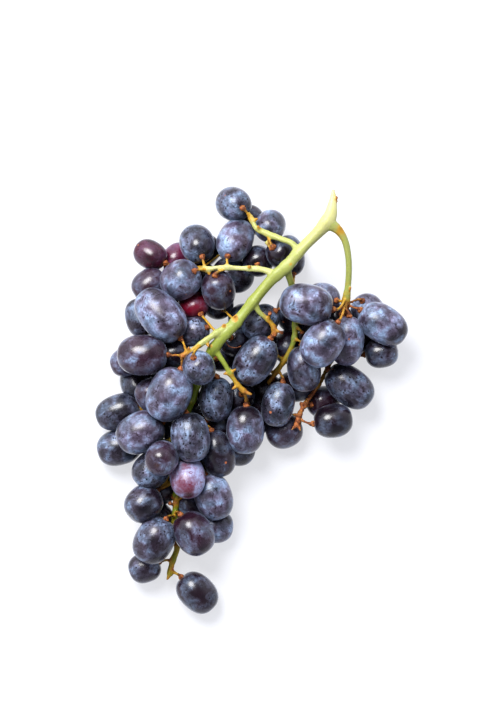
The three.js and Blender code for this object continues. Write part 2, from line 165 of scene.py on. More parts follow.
# %% White acrylic plate, lit from below
FLOOR_SIDE = 12  # metres
FLOOR_GLOW = 0.545
FLOOR_CLOUD_MM = 60
FLOOR_ROUGHNESS = (0.7, 0.9)


def new_material(name):
    """A material with an empty net of nodes, and the net."""
    material = bpy.data.materials.new(name)
    material.use_nodes = True
    material.node_tree.nodes.clear()
    return material, material.node_tree


board, tree = new_material("lit_white_acrylic")
where = add(tree, "TexCoord", out="Object")
cloud = add(tree, "TexNoise", {"Vector": where, "Scale": 1 / (FLOOR_CLOUD_MM * MM), "Detail": 3.0})
white = add(tree, "Mix", {SHARE: cloud, FIRST: linear("#838488"), SECOND: linear("#87888c")}, **COLOURS)
rough = add(tree, "MapRange", (cloud, 0.0, 1.0, *FLOOR_ROUGHNESS))
glow = {"Emission Color": linear("#fdfdff"), "Emission Strength": FLOOR_GLOW}
shader = add(tree, "BsdfPrincipled", {"Base Color": white, "Roughness": rough, **glow})
add(tree, "OutputMaterial", (shader,))

half = FLOOR_SIDE / 2
floor_mesh = bpy.data.meshes.new("table_top")
corners = [(-half, -half, 0), (half, -half, 0), (half, half, 0), (-half, half, 0)]
floor_mesh.from_pydata(corners, [], [(0, 1, 2, 3)])
floor_mesh.materials.append(board)
floor = bpy.data.objects.new("table_top", floor_mesh)
scene.collection.objects.link(floor)
print("floor side in m:", FLOOR_SIDE)

# %% [markdown]
# ## Where the shoots run
# A bunch has one main stem, and side shoots leave it. These are the same centre lines, in millimetres, as
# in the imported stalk: x, y, height and radius from the root outwards. The lists after them say how dry a
# shoot is on its way, where 0 is fresh and 1 is brown and woody, and how pale the fresh parts are.

# %% Centre lines of the main stem and the side shoots
SHOOTS = {
    "main": [
        [40.5, 106, 37, 0.7], [40, 99, 37.5, 1.9], [38.5, 92, 38, 2.6], [35, 87, 38, 2.9],
        [24, 75.5, 37.5, 2.6], [17.5, 68, 37, 2.9], [10, 61.5, 36.5, 2.7], [-6, 42, 36, 2.5],
        [-15, 32, 36, 2.5], [-20, 25.5, 33.5, 2.6], [-24.5, 17, 28.5, 2.1], [-28.5, 6, 24, 2],
        [-32.5, -5, 20.5, 1.9], [-36, -19, 18.5, 1.8], [-37.5, -34, 15.5, 1.6], [-38, -49, 13, 1.4],
        [-39, -64, 11.5, 1.3], [-37.5, -73, 11, 1.4], [-40, -80.5, 10, 1.4], [-41.5, -87.5, 9, 1.1],
    ],
    "wing": [
        [38, 89, 38, 2.2], [42, 86.5, 37, 2.1], [46, 81, 35, 1.7], [48.2, 71, 32, 1.5],
        [48.2, 61, 28.5, 1.5], [47, 51, 25, 1.6], [45.5, 42, 18, 1.4], [42, 28, 11, 1.2],
        [38, 17, 11.5, 1.1], [33, 8, 14, 1], [27.5, 0, 16, 0.9], [24, -6, 17.5, 0.9], [22.5, -11, 18, 0.9],
    ],
    "top": [
        [23, 74.5, 37.5, 1.6], [20, 79, 36, 1.4], [14, 81.5, 33, 1.4], [6.5, 84.5, 30.5, 1.3],
        [2, 87, 29, 1.2], [0, 91, 27.5, 1], [-2, 94.5, 26.5, 0.9],
    ],
    "upperLeft": [
        [12, 63.5, 36.5, 1.9], [5, 66, 36, 1.4], [-6, 66.7, 35.5, 1.1], [-15, 67.2, 34.5, 1.1],
        [-23, 66.2, 32, 1.1], [-29, 67.5, 22, 0.9], [-36, 68.5, 18, 0.8], [-43, 67, 16, 0.8],
    ],
    "left": [
        [-8, 39.5, 36, 1.7], [-15, 36, 37, 1.5], [-23.5, 30.5, 38, 1.3], [-29.5, 26, 38, 1.2],
        [-35.5, 22.5, 37.5, 1],
    ],
    "underLeft": [
        [-27, 10, 25.5, 1.4], [-34, 12, 22, 1.2], [-41, 14, 20.5, 1], [-48, 16, 20, 0.9],
        [-52, 24, 20, 0.8],
    ],
    "centre": [
        [-19, 27, 34, 1.5], [-14, 19.5, 34.5, 1.2], [-10.5, 13.5, 33, 1.1], [-7, 8.5, 31.5, 1.1],
        [-3.5, 5, 30, 1],
    ],
    "twig": [
        [1, 49.5, 36, 1.5], [3.5, 45, 35, 1.2], [8, 41, 33, 1], [11, 37, 31.5, 1], [11.5, 33, 30.5, 0.9],
    ],
    "middleRight": [
        [17, 67, 37, 1.9], [19.5, 59, 31, 1.5], [20.5, 52, 23, 1.4], [21.5, 41, 21.5, 1.4],
        [21, 31, 20.5, 1.3], [17.5, 23, 19, 1.2], [12.5, 15.5, 18, 1], [8, 9, 17.5, 0.9],
    ],
    "lowerLeft": [[-34, -12, 20, 1.3], [-41, -19, 18, 1.1], [-49, -22, 17, 1], [-57, -25, 15.5, 0.8]],
    "farLeft": [[-30.5, 1, 24, 1.3], [-39, -4, 19, 1.1], [-48, -7, 17, 1], [-56, -3, 16, 0.8]],
    "tailLeft": [[-37.5, -38, 15, 1.1], [-43, -42, 16, 1], [-47, -44, 17, 0.8]],
}
DRYNESS = {
    "main": [0.02, 0, 0, 0, 0, 0, 0.05, 0.12, 0.18, 0.25, 0.35],
    "wing": [0.12, 0.25, 0.05, 0, 0.12, 1, 0.6, 0.35, 0.4, 0.6, 0.8, 0.9, 1],
    "top": [0, 0.05, 0.1, 0.2, 0.45],
    "upperLeft": [0, 0, 0.05, 0.15, 0.45, 0.6, 0.7],
    "left": [0, 0, 0.1, 0.35, 0.8],
    "underLeft": [0.05, 0.2, 0.5],
    "centre": [0, 0.05, 0.2, 0.5, 0.7],
    "twig": [0, 0.1, 0.4, 0.6, 0.8],
    "middleRight": [0, 0.05, 0.1, 0.1, 0.2, 0.5, 0.7],
    "lowerLeft": [0.2, 0.4, 0.6],
    "farLeft": [0.15, 0.4, 0.6],
    "tailLeft": [0.2, 0.5, 0.7],
}
PALENESS = {  # 0 is fresh green, 1 the colour of straw
    "main": [1, 0.65, 0.34, 0.22, 0.18, 0.08, 0, 0, 0, 0, 0],
    "wing": [0.4, 0.3, 0.25, 0.1],
    "top": [0.4, 0.45],
    "upperLeft": [0.6, 0.85],
    "left": [0.2, 0.75],
    "twig": [0.3, 0.5],
    "middleRight": [0.3, 0.15, 0.1],
}
OTHER_PALENESS = [0.1]
print("shoots:", len(SHOOTS))

# %% [markdown]
# ## Where the berries hang
# One row for each berry: x, y, length, width, height of the centre, then the heading of its stem end and
# the tilt above level. A berry that lies hidden under the others has no heading; its stem end points at the
# nearest shoot. The letter says how the skin looks: w waxy, b blotchy, s with many specks, g glossy where
# it was rubbed, p plum, r and u for two of the red ones, l for the third and for a crimson one among the
# dark ones, and v for the lilac one. A c after it says that the bloom is worn off the stem end, an e the
# other.

# %% Rows of berries
DARK = [
    "-8 98 20 17 22 -27 60 b", "10 89 18 15.5 18 -120 60 w", "15 73 18.5 15.5 24 142 50 g",
    "19 73.5 22 15 10 -80 30 g", "-4.5 92.5 18 16.5 9 g", "3.5 69 18 15.5 19 g",
    "-27 81 21 17.5 24 -69 48 b", "-9 81.5 24 18 26 -115 42 w", "-34 62 21 19.7 30 32 40 w",
    "-15 56 22.5 17 24 102 49 p", "-8 65 22 18 13 b", "-51 57.5 18.5 16.5 14 p", "-29 45.5 17 15 20 l",
    "-46 43 30.5 21 31 -49 5 w", "-55 24 25.5 20.5 27 0 8 p", "-42.5 4 27.8 22 32 66 5 w",
    "-32 35.5 18 15 26 15 30 s", "-56.5 40.5 20 15 12 b", "-60 19.5 21 15 11 20 0 p", "-57 13.5 20 16 8 b",
    "-50 -1 17 16 15 p", "-26 17.5 18 16 37 119 50 s", "-38.5 27 18 16 20 g", "-3.5 -15 24.5 19 22 88 8 wc",
    "-18 0.5 23 17 20 88 15 s", "2 20 27 19 29 55 8 b", "3 39.5 21 16 18 35 20 s",
    "-15.5 -25.5 24 17 12 105 5 g", "-11 -22 20 16 8 b", "-11 33 18 16 20 g", "-6 3.5 18 16 8 g",
    "8 6.5 18 16 8 g", "21 46.5 21 18 8 90 10 g", "12.5 -1 23 16.5 18 78 5 s", "26.5 17 23.5 17 20 95 5 b",
    "17 28.5 18 16 8 g", "25.5 9 20 16 8 g", "27 48.5 27 20.5 31 -10 0 wc", "35 30 25.5 20 31 54 8 wc",
    "47.5 32.5 25.5 17 20 85 15 w", "65 39 26.5 19 22 148 5 we", "59 46 19 17 9 120 50 w",
    "63 25 17 15.5 8 b", "54.5 28.5 16 14 8 g", "35 50.5 18 16 12 w", "49 8.5 27 19 10 142 5 b",
    "40 -9.5 20 17.2 9 188 5 g", "34.5 -2.5 17 16 9 p", "16.5 -15 18.5 17.5 8 30 30 p",
    "-56.5 -15 25 20.5 26 25 5 w", "-67 -4.5 23 17.5 14 20 5 b", "-66 -23.5 23 18.5 9 15 5 b",
    "-45.5 -28 20 16.5 28 60 -65 p", "-50.5 -35.5 20 18 19 45 0 s", "-30.5 -18 25 19.5 30 100 0 sc",
    "-20 -47.5 24 19 18 110 5 w", "-44.5 -43 18 16 10 g", "-37 -15 18 16 8 g",
    "-53.5 -50 19.5 18.5 14 43 -16 b", "-27.5 -53 18 15 9 p", "-49 -68.5 24.5 20 12 60 5 b",
    "-28.5 -66.5 23 19.5 12 125 5 pc", "-26 -58 19 17 8 w", "-47 -63 18 16 8 g",
    "-54 -83.5 16.5 15.5 7 22 5 b", "-27.5 -96 22.7 18.2 8 135 5 g", "-12 76 18 16 8 g", "-25 76 18 16 8 g",
    "-26 64 18 16 12 g", "-17 50 18 16 8 g", "-4 44 17 15 8 g", "-44 39 19 16 12 g", "-46 20 18 16 9 g",
    "-36 8 18 16 14 g", "-27 17 18 16 12 g", "-16 22 18 16 8 g", "0 17 18 16 13 g", "8 29 18 15 8 g",
    "-24 -3 18 16 8 g", "-14 -8 18 16 8 g", "-2 -9 18 16 8 g", "33 27 19 16 12 g", "44 38 18 16 8 g",
    "-25 -24 18 16 10 g", "-54 -12 19 16 9 g", "-44 -29 18 16 9 g", "-31 -38 18 16 8 g",
]
RED = ["-51 74 17.5 14.5 16 -30 16 r", "-38 72.5 16 14 12 -135 20 u", "-39 53.5 19 16 12 l"]
BLUSH = ["-31 -39 22 18 26 95 -35 ve"]
print("berries:", len(DARK) + len(RED) + len(BLUSH))

# %% [markdown]
# ## Reading the rows
# A berry is a blunt oval. For all questions of what touches what, it is enough to know its core: the
# straight stretch inside it that is one half-width away from the skin. The shortest way between two such
# stretches says how near two berries are, or a berry and a shoot.

# %% The shortest way between two stretches
TINY = 1e-9  # what counts as no length


def shortest_way(start_a, along_a, start_b, along_b):
    """The shortest way between two straight stretches. It ends on the first one."""
    gap = [start_a[k] - start_b[k] for k in range(3)]
    a_a = along_a[0] ** 2 + along_a[1] ** 2 + along_a[2] ** 2
    b_b = along_b[0] ** 2 + along_b[1] ** 2 + along_b[2] ** 2
    b_gap = along_b[0] * gap[0] + along_b[1] * gap[1] + along_b[2] * gap[2]
    a_gap = along_a[0] * gap[0] + along_a[1] * gap[1] + along_a[2] * gap[2]
    a_b = along_a[0] * along_b[0] + along_a[1] * along_b[1] + along_a[2] * along_b[2]
    slant = a_a * b_b - a_b * a_b
    on_a = min(max((a_b * b_gap - a_gap * b_b) / slant, 0), 1) if slant > TINY else 0
    on_b = min(max((a_b * on_a + b_gap) / max(b_b, TINY), 0), 1)
    on_a = min(max((a_b * on_b - a_gap) / max(a_a, TINY), 0), 1)
    return [gap[k] + along_a[k] * on_a - along_b[k] * on_b for k in range(3)]


# %% Berries from their rows
stretches = []  # of the shoots: start, whole way, mean radius
for rows in SHOOTS.values():
    for one, two in zip(rows, rows[1:]):
        stretches.append((one[:3], [two[k] - one[k] for k in range(3)], (one[3] + two[3]) / 2))


def towards_nearest_shoot(point):
    """The unit vector from a point to the nearest place on any shoot."""
    ways = [shortest_way(start, way, point, [0, 0, 0]) for start, way, _ in stretches]
    best = min(ways, key=lambda way: math.hypot(*way))
    return [v / math.hypot(*best) for v in best]


def direction(heading, tilt):
    """The unit vector with a heading and a tilt above level, in degrees."""
    h, t = math.radians(heading), math.radians(tilt)
    return [math.cos(t) * math.cos(h), math.cos(t) * math.sin(h), math.sin(t)]


def read_berry(row, skin):
    """One berry: size, centre, direction of the stem end and look of the skin."""
    *numbers, look = row.split()
    x, y, length, width, height, *aim = [float(v) for v in numbers]
    berry = {"length": length, "radius": width / 2, "centre": [x, y, height], "look": look, "skin": skin}
    berry["seen"] = bool(aim)
    berry["towards"] = direction(*aim) if aim else towards_nearest_shoot(berry["centre"])
    set_core(berry)
    return berry


def set_core(berry):
    """Keeps the way from one end of the core to the other."""
    berry["core"] = [v * (berry["length"] - 2 * berry["radius"]) for v in berry["towards"]]


berries = []
for skin, rows in (("dark", DARK), ("red", RED), ("blush", BLUSH)):
    berries += [read_berry(row, skin) for row in rows]
lengths = np.array([b["length"] for b in berries])
print("longest and shortest berry in mm:", lengths.max(), lengths.min())

# %% [markdown]
# ## Letting the berries settle
# As listed, ninety berries would hang in the air or sink into each other. Here they settle as in the
# imported part: in each round, every berry is drawn back a little to its own place, drawn to berries that it
# nearly touches, and pushed out of what it overlaps. Berries that show from above give way less sideways. A
# physics engine could do it too, but it wouldn't end in the places that the photograph shows.

# %% How a berry is pushed
GAP = 0.3  # mm, free space between a berry and the stalk
PRESS = 1.7  # mm, how far two neighbours flatten into each other
SINK = 0.6  # mm, depth of the flat spot on a berry that rests on the table
NEAR = 4  # mm, the widest gap that closes
CLOSING = 0.5  # the share of it that closes in a round
ROUNDS = 300
DRAW = (0.15, 0.15, 0.04)  # the share of the way home in a round, along x, y and z
SEEN_SIDEWAYS = 0.25  # what is left of a sideways push on a berry that shows
ROAM = 16  # mm, further than any berry moves; it only saves useless comparisons


def push(berry, way, distance):
    """Moves a berry along a way by a distance."""
    share = distance / math.hypot(*way)
    sideways = SEEN_SIDEWAYS if berry["seen"] else 1
    centre = berry["centre"]
    centre[0] += way[0] * share * sideways
    centre[1] += way[1] * share * sideways
    centre[2] += way[2] * share


def core_start(berry):
    """The lower end of the core, away from the stem."""
    return [berry["centre"][k] - berry["core"][k] / 2 for k in range(3)]


def apart(berry, other):
    """The distance between two centres."""
    return math.dist(berry["centre"], other["centre"])


print("the most that a berry is pressed in, in mm:", PRESS)

# %% Settle the berries
homes = [list(berry["centre"]) for berry in berries]
pairs = []  # two berries, and how near their centres have to be
for i, berry in enumerate(berries):
    for other in berries[:i]:
        reach = (berry["length"] + other["length"]) / 2 + NEAR
        if apart(berry, other) < reach + 2 * ROAM:
            pairs.append((berry, other, reach))
near_stretches = []
for berry in berries:
    reach = berry["length"] / 2 + ROAM
    near_stretches.append([
        (start, way, radius)
        for start, way, radius in stretches
        if math.hypot(*shortest_way(berry["centre"], [0, 0, 0], start, way)) < reach + radius
    ])
for _ in range(ROUNDS):
    for berry, home in zip(berries, homes):
        for k, draw in enumerate(DRAW):
            berry["centre"][k] += (home[k] - berry["centre"][k]) * draw
    for a, b, reach in pairs:
        if apart(a, b) > reach:
            continue
        way = shortest_way(core_start(a), a["core"], core_start(b), b["core"])
        excess = a["radius"] + b["radius"] - PRESS - math.hypot(*way)
        if excess < -NEAR:
            continue
        share = 1 if excess > 0 else CLOSING
        push(a, way, share * excess / 2)
        push(b, way, -share * excess / 2)
    for berry, near in zip(berries, near_stretches):
        for start, along, radius in near:
            way = shortest_way(core_start(berry), berry["core"], start, along)
            excess = berry["radius"] + radius + GAP - math.hypot(*way)
            if excess > 0:
                push(berry, way, excess)
        lowest = berry["radius"] + abs(berry["core"][2]) / 2 - SINK
        berry["centre"][2] = max(berry["centre"][2], lowest)
print("furthest move in mm:", round(max(math.dist(b["centre"], h) for b, h in zip(berries, homes)), 1))

# %% [markdown]
# ## The small stem of each berry
# Every berry hangs on its own small stem. It leaves a shoot, bends and runs straight into the stem end of
# the berry. Of all places where it could leave, it takes the one with the shortest free way past the other
# berries. A hidden berry turns its stem end straight to that place.

# %% The curve of a small stem
STEM_ROOT_R = 1.1  # mm
STEM_NECK_R = 0.85  # mm
STRAIGHT_SHARE = 0.3  # of the distance, which it runs straight on at both ends
STEM_REACH = 40  # mm, the furthest that a root is from its berry
ROOT_SPACING = 2  # mm between two places where it could leave
CROSSING_COST = 30  # mm of way that a millimetre inside a berry counts for
CROSSING_SHARES = np.array([0.15, 0.3, 0.45, 0.6, 0.75, 0.9])  # of its way, where it may cross a berry
LENGTH_SHARES = np.linspace(0, 1, 201)  # of its way, where its length is measured


def bezier(corners, shares):
    """Points of cubic Bezier curves, given as four corners each, at shares of their way."""
    t = np.asarray(shares)[:, None]
    p0, p1, p2, p3 = [np.asarray(corner)[..., None, :] for corner in corners]
    return (1 - t) ** 3 * p0 + 3 * (1 - t) ** 2 * t * p1 + 3 * (1 - t) * t**2 * p2 + t**3 * p3


def stem_corners(centre, towards, length, root):
    """The four corners of the curve from a root into the stem end of a berry."""
    end = centre + towards * (length / 2 + GAP)
    reach = np.linalg.norm(root - end, axis=-1, keepdims=True) * STRAIGHT_SHARE
    return [root, root + (end - root) * STRAIGHT_SHARE, end + towards * reach, end + 0 * root]


print("small stems may be this far from their root, in mm:", STEM_REACH)

# %% Choose a way for every small stem
roots = []
for start, along, _ in stretches:
    count = max(1, math.floor(math.hypot(*along) / ROOT_SPACING + 0.5))
    roots += [[start[k] + along[k] * (i + 0.5) / count for k in range(3)] for i in range(count)]
roots = np.array(roots)
centres = np.array([b["centre"] for b in berries])
radii = np.array([b["radius"] for b in berries])


def crossing(points):
    """How deep the points of each curve lie in berries, summed along it."""
    cores = np.array([b["core"] for b in berries])
    from_start = points[..., None, :] - (centres - cores / 2)
    share = (from_start * cores).sum(-1) / np.maximum((cores**2).sum(-1), TINY)
    off = np.linalg.norm(from_start - np.clip(share, 0, 1)[..., None] * cores, axis=-1)
    inside = np.maximum(radii + STEM_NECK_R - off, 0)
    inside[np.linalg.norm(points[..., None, :] - centres, axis=-1) > lengths / 2 + STEM_ROOT_R] = 0
    return inside.sum((-1, -2))


for berry, centre in zip(berries, centres):
    near = roots[np.linalg.norm(roots - centre, axis=1) <= STEM_REACH]
    aims = near - centre
    aims = aims / np.linalg.norm(aims, axis=1, keepdims=True)
    if berry["seen"]:
        aims[:] = berry["towards"]
    corners = stem_corners(centre, aims, berry["length"], near)
    line = bezier(corners, LENGTH_SHARES)
    cost = np.linalg.norm(np.diff(line, axis=1), axis=-1).sum(-1)
    cost = cost + CROSSING_COST * crossing(bezier(corners, CROSSING_SHARES))
    best = int(np.argmin(cost))
    berry["towards"] = list(aims[best])
    berry["root"] = near[best]
    set_core(berry)
from_roots = [math.dist(b["root"], b["centre"]) for b in berries]
print("mean distance from root to berry in mm:", round(float(np.mean(from_roots)), 1))

# %% [markdown]
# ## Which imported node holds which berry
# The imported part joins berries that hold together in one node. A berry belongs to the node whose solid its
# centre lies in: a straight line from inside a closed solid goes out of it an odd number of times.

# %% Find the node of each berry
SKIPPED = 1e-6  # metres past a hit, so that the line doesn't hit the same face again
LINE_WAY = Vector((0.13, 0.29, 0.95))  # slanted, so that it runs along no face


def holds(solid, point):
    """True if a point lies inside a closed mesh."""
    hits, place = 0, Vector(point)
    while (hit := solid.ray_cast(place, LINE_WAY))[0] is not None:
        hits += 1
        place = hit[0] + LINE_WAY * SKIPPED
    return hits % 2 == 1


solids = {}
for name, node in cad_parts.items():
    if name != "stalk":
        polygons = [list(p.vertices) for p in node.data.polygons]
        solids[name] = BVHTree.FromPolygons([v.co for v in node.data.vertices], polygons)
for berry in berries:
    inside = [name for name, solid in solids.items() if holds(solid, Vector(berry["centre"]) * MM)]
    if len(inside) != 1:
        raise RuntimeError(f"the berry at {berry['centre']} lies in {inside}")
    berry["node"] = inside[0]
print("berries per node:", {name: sum(b["node"] == name for b in berries) for name in solids})

# %% [markdown]
# ## The shape of a berry
# A grape is a blunt oval of revolution: fuller than an ellipse, with a shallow dimple where the stem sits
# and a tiny scar at the other end, where the flower was. The mesh is a globe of rings, bent to that
# outline, with slight lumps that differ from berry to berry. A scaled sphere would be too pointed and too
# perfect.

# %% A globe of rings
SIDES = 56
BANDS = 44


def ring_faces(first, rings, sides, poles):
    """The faces of a closed skin over rings of points from a first one on, with a pole at either end."""
    last = first + (rings - 1) * sides
    faces = []
    for side in range(sides):
        after = (side + 1) % sides
        faces.append((poles[0], first + after, first + side))
        faces.append((poles[1], last + side, last + after))
        for ring in range(first, last, sides):
            faces.append((ring + side, ring + after, ring + sides + after, ring + sides + side))
    return faces


turn = np.linspace(0, 2 * np.pi, SIDES, endpoint=False)
rise = np.linspace(0, np.pi, BANDS + 1)[1:-1]
across, upright = np.sin(rise), np.outer(np.cos(rise), np.ones(SIDES))
rings = np.stack([np.outer(across, np.cos(turn)), upright, np.outer(across, np.sin(turn))], axis=-1)
globe = np.vstack([[[0, 1, 0]], rings.reshape(-1, 3), [[0, -1, 0]]])
globe_faces = ring_faces(1, BANDS - 1, SIDES, (0, len(globe) - 1))
print("points and faces of a berry:", len(globe), len(globe_faces))

# %% The outline of a berry
BLUNTNESS = 2.3  # 2 is an ellipse, more is blunter
LUMP = 0.008  # height of the lumps, as a share of the radius
LUMP_FINENESS = 1.6  # radians of their waves in each radius
EGG = 0.035  # how much fuller one half may be
DIMPLE = (0.7, 2.0)  # mm, depth and width at the stem end
DENT = (0.25, 2.6)  # mm, depth and width of the soft dent at the flower end
SCAR = (0.22, 0.6)  # mm, height and width of the scar in it


def bell(distance, height, width):
    """A bell curve over a distance."""
    return height * np.exp(-((distance / width) ** 2))


def blunt(points):
    """How far each point is out from the centre, as a share of the way to the outline of a unit berry."""
    ring = np.hypot(points[..., 0], points[..., 2])
    return (ring**BLUNTNESS + np.abs(points[..., 1]) ** BLUNTNESS) ** (1 / BLUNTNESS)


def axes_of(towards):
    """Three unit vectors as rows: across, towards the stem, across."""
    y = np.array(towards)
    x = np.cross(y, [0, 0, 1] if abs(y[2]) < 0.9 else [1, 0, 0])
    x = x / np.linalg.norm(x)
    return np.array([x, y, np.cross(x, y)])


def berry_points(berry, chance):
    """The points of one berry in its own axes, in mm."""
    ways = chance.normal(size=(3, 3)) * LUMP_FINENESS
    waves = sum(np.sin(globe @ way + start) for way, start in zip(ways, chance.uniform(0, 6, 3)))
    fuller = 1 + LUMP * waves + chance.uniform(-EGG, EGG) * globe[:, 1]
    points = globe / blunt(globe)[:, None]
    size = np.array([berry["radius"], berry["length"] / 2, berry["radius"]])
    points = points * size * np.stack([fuller, 1 + 0 * fuller, fuller], axis=1)
    off = np.hypot(points[:, 0], points[:, 2])
    raised = np.where(points[:, 1] > 0, -bell(off, *DIMPLE), bell(off, *DENT) - bell(off, *SCAR))
    points[:, 1] += raised
    return points


print("widest dimple in mm:", 2 * DIMPLE[1])

# %% [markdown]
# ## Berries that press on each other
# Where two grapes press, each skin flattens, and they meet in a shared, nearly flat patch. A point of one
# berry that lies inside its neighbour goes back inwards until it is as deep in the one as in the other. So
# the meshes never cut through each other, and the crease between two berries is as sharp as on a real
# bunch. The skin also stays clear of the shoots and the small stems, and it is flat where the berry rests
# on the table.

# %% Flatten what presses
SKIN_GAP = 0.06  # mm, left between two skins
STEM_CLEAR = 0.15  # mm, left between a skin and a stem
DEEPEST = 5.0  # mm, the furthest that a point goes back
HALVINGS = 16  # rounds that find how far it has to go
LINE_POINTS = 9  # on a small stem
LEAST_OUT = 0.01  # keeps the centre of a berry from dividing by zero
NEAR_BERRY, NEAR_LINE = 1, 8  # mm past the skins, within which a berry or a line is looked at


def depth(berry, points):
    """About how far points are outside the skin of a berry, in mm. It is negative inside."""
    local = (points - berry["centre"]) @ berry["axes"].T
    out = np.maximum(blunt(local / [berry["radius"], berry["length"] / 2, berry["radius"]]), LEAST_OUT)
    return np.linalg.norm(local, axis=-1) * (1 - 1 / out)


def off_line(line, thick, points):
    """How far points are outside a bent tube: its points and its radii."""
    starts, ways = line[:-1], np.diff(line, axis=0)
    from_start = points[:, None, :] - starts
    share = np.clip((from_start * ways).sum(-1) / np.maximum((ways**2).sum(-1), TINY), 0, 1)
    off = np.linalg.norm(from_start - share[..., None] * ways, axis=-1)
    return (off - thick[:-1] - share * np.diff(thick)).min(1)


def draw_back(points, inwards, room):
    """Moves points inwards until room, which is negative where they may not be, is zero."""
    held = room(points) < 0
    if held.any():
        low, high = np.zeros(held.sum()), np.full(held.sum(), DEEPEST)
        for _ in range(HALVINGS):
            middle = (low + high) / 2
            free = room(points[held] + inwards[held] * middle[:, None]) > 0
            low, high = np.where(free, low, middle), np.where(free, middle, high)
        points[held] += inwards[held] * high[:, None]
    return points


lines = []  # of all stems and shoots: points, radii and the berry on it
for berry in berries:
    berry["axes"] = axes_of(berry["towards"])
    centre, towards = np.array(berry["centre"]), np.array(berry["towards"])
    berry["corners"] = stem_corners(centre, towards, berry["length"], berry["root"])
    line = bezier(berry["corners"], np.linspace(0, 1, LINE_POINTS))
    lines.append((line, np.full(LINE_POINTS, STEM_NECK_R), berry))
for rows in SHOOTS.values():
    lines.append((np.array(rows)[:, :3], np.array(rows)[:, 3], None))


def pressed(berry, points):
    """The points of a berry, in mm in the bunch, after it pressed on what is around it."""
    half_core = np.linalg.norm(berry["core"]) / 2
    along = np.clip((points - berry["centre"]) @ berry["towards"], -half_core, half_core)
    inwards = berry["centre"] + np.outer(along, berry["towards"]) - points
    inwards = inwards / np.linalg.norm(inwards, axis=1, keepdims=True)
    for other in berries:
        reach = (berry["length"] + other["length"]) / 2 + NEAR_BERRY
        if other is not berry and apart(berry, other) < reach:
            points = draw_back(points, inwards, lambda p: depth(other, p) - depth(berry, p) - SKIN_GAP)
    for line, thick, owner in lines:
        reach = berry["length"] + NEAR_LINE
        if owner is not berry and np.linalg.norm(line - berry["centre"], axis=1).min() < reach:
            points = draw_back(points, inwards, lambda p: off_line(line, thick + STEM_CLEAR, p))
    points[:, 2] = np.maximum(points[:, 2], 0)
    return points


print("lines that the skins stay clear of:", len(lines))

# %% [markdown]
# ## Building the berries
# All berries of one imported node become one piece, which replaces that node. Each point keeps its place on
# its own berry, so that the bloom and the specks of every berry differ. It also keeps the look of its skin
# in numbers: how waxy, how specked and how plum-coloured the berry is, how far along it the point lies and
# how worn that end is.

# %% One mesh with named numbers at its points
def build_piece(name, points, faces, vectors, floats):
    """A smooth mesh object from points in mm, with one attribute for each named array."""
    mesh = bpy.data.meshes.new(name)
    mesh.from_pydata((points * MM).tolist(), [], faces)
    for kind, field, named in (("FLOAT_VECTOR", "vector", vectors), ("FLOAT", "value", floats)):
        for key, values in named.items():
            attribute = mesh.attributes.new(key, kind, "POINT")
            attribute.data.foreach_set(field, values.astype(np.float32).ravel())
    mesh.polygons.foreach_set("use_smooth", [True] * len(mesh.polygons))
    mesh.update()
    piece = bpy.data.objects.new(name, mesh)
    scene.collection.objects.link(piece)
    return piece


print("nodes to build:", len(solids))

# %% Build one piece for each node of berries
LOOKS = {  # wax, specks and plum
    "w": (1.0, 0.1, 0.5), "b": (0.6, 0.4, 0.4), "s": (0.82, 1.35, 0.2), "g": (0.26, 0.2, 0.45),
    "p": (0.52, 0.12, 0.95), "r": (0.18, 0.0, 0.45), "u": (1.0, 0.0, 0.75), "l": (0.1, 0.0, 1.3),
    "v": (1.0, 0.0, 0.5),
}
LOOK_SPREAD = 0.07  # how much they differ from berry to berry
ATTRIBUTES = ("wax", "specks", "plum", "along", "worn")
WORN_ENDS = {"c": 1, "e": -1}  # the stem end or the other one
FIRST_SEED = 1000
FAR_APART = 0.07  # metres between the skins of two berries in the pattern's own space

berry_pieces = {}
for name in solids:
    own = [i for i, b in enumerate(berries) if b["node"] == name]
    points, faces, place, looks = [], [], [], []
    for count, i in enumerate(own):
        berry = berries[i]
        chance = np.random.default_rng(FIRST_SEED + i)
        local = berry_points(berry, chance)
        points.append(pressed(berry, local @ berry["axes"] + berry["centre"]))
        faces += [tuple(v + count * len(globe) for v in face) for face in globe_faces]
        place.append(local * MM + [FAR_APART * i, 0, 0])
        look = np.array(LOOKS[berry["look"][0]]) + chance.uniform(-LOOK_SPREAD, LOOK_SPREAD, 3)
        along = local[:, 1:2] / (berry["length"] / 2)
        worn = np.clip(along * WORN_ENDS.get(berry["look"][1:], 0), 0, 1)
        looks.append(np.hstack([np.tile(look, (len(globe), 1)), along, worn]))
    floats = dict(zip(ATTRIBUTES, np.vstack(looks).T))
    piece = build_piece("skin_" + name, np.vstack(points), faces, {"place": np.vstack(place)}, floats)
    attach(piece, "root")
    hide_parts(name)
    berry_pieces[name] = piece
print("berry pieces:", len(berry_pieces), "faces:", sum(len(p.data.polygons) for p in berry_pieces.values()))

# %% [markdown]
# ## Grape skin
# A grape's skin is a thin, smooth, dark layer over wet flesh, and it is glossy. On it lies the bloom, a
# powder of tiny wax plates that scatters light, so it looks pale blue and matt. Handling rubs it off in
# patches and wipes streaks along the berry, which shine dark again, and drops of water leave small round
# specks bare. Some berries have little corky dots. Soft noises and cells, each at its real size in
# millimetres, say where all that is. An image would need a flat unwrapping of every berry; a noise in the
# berry's own space doesn't.

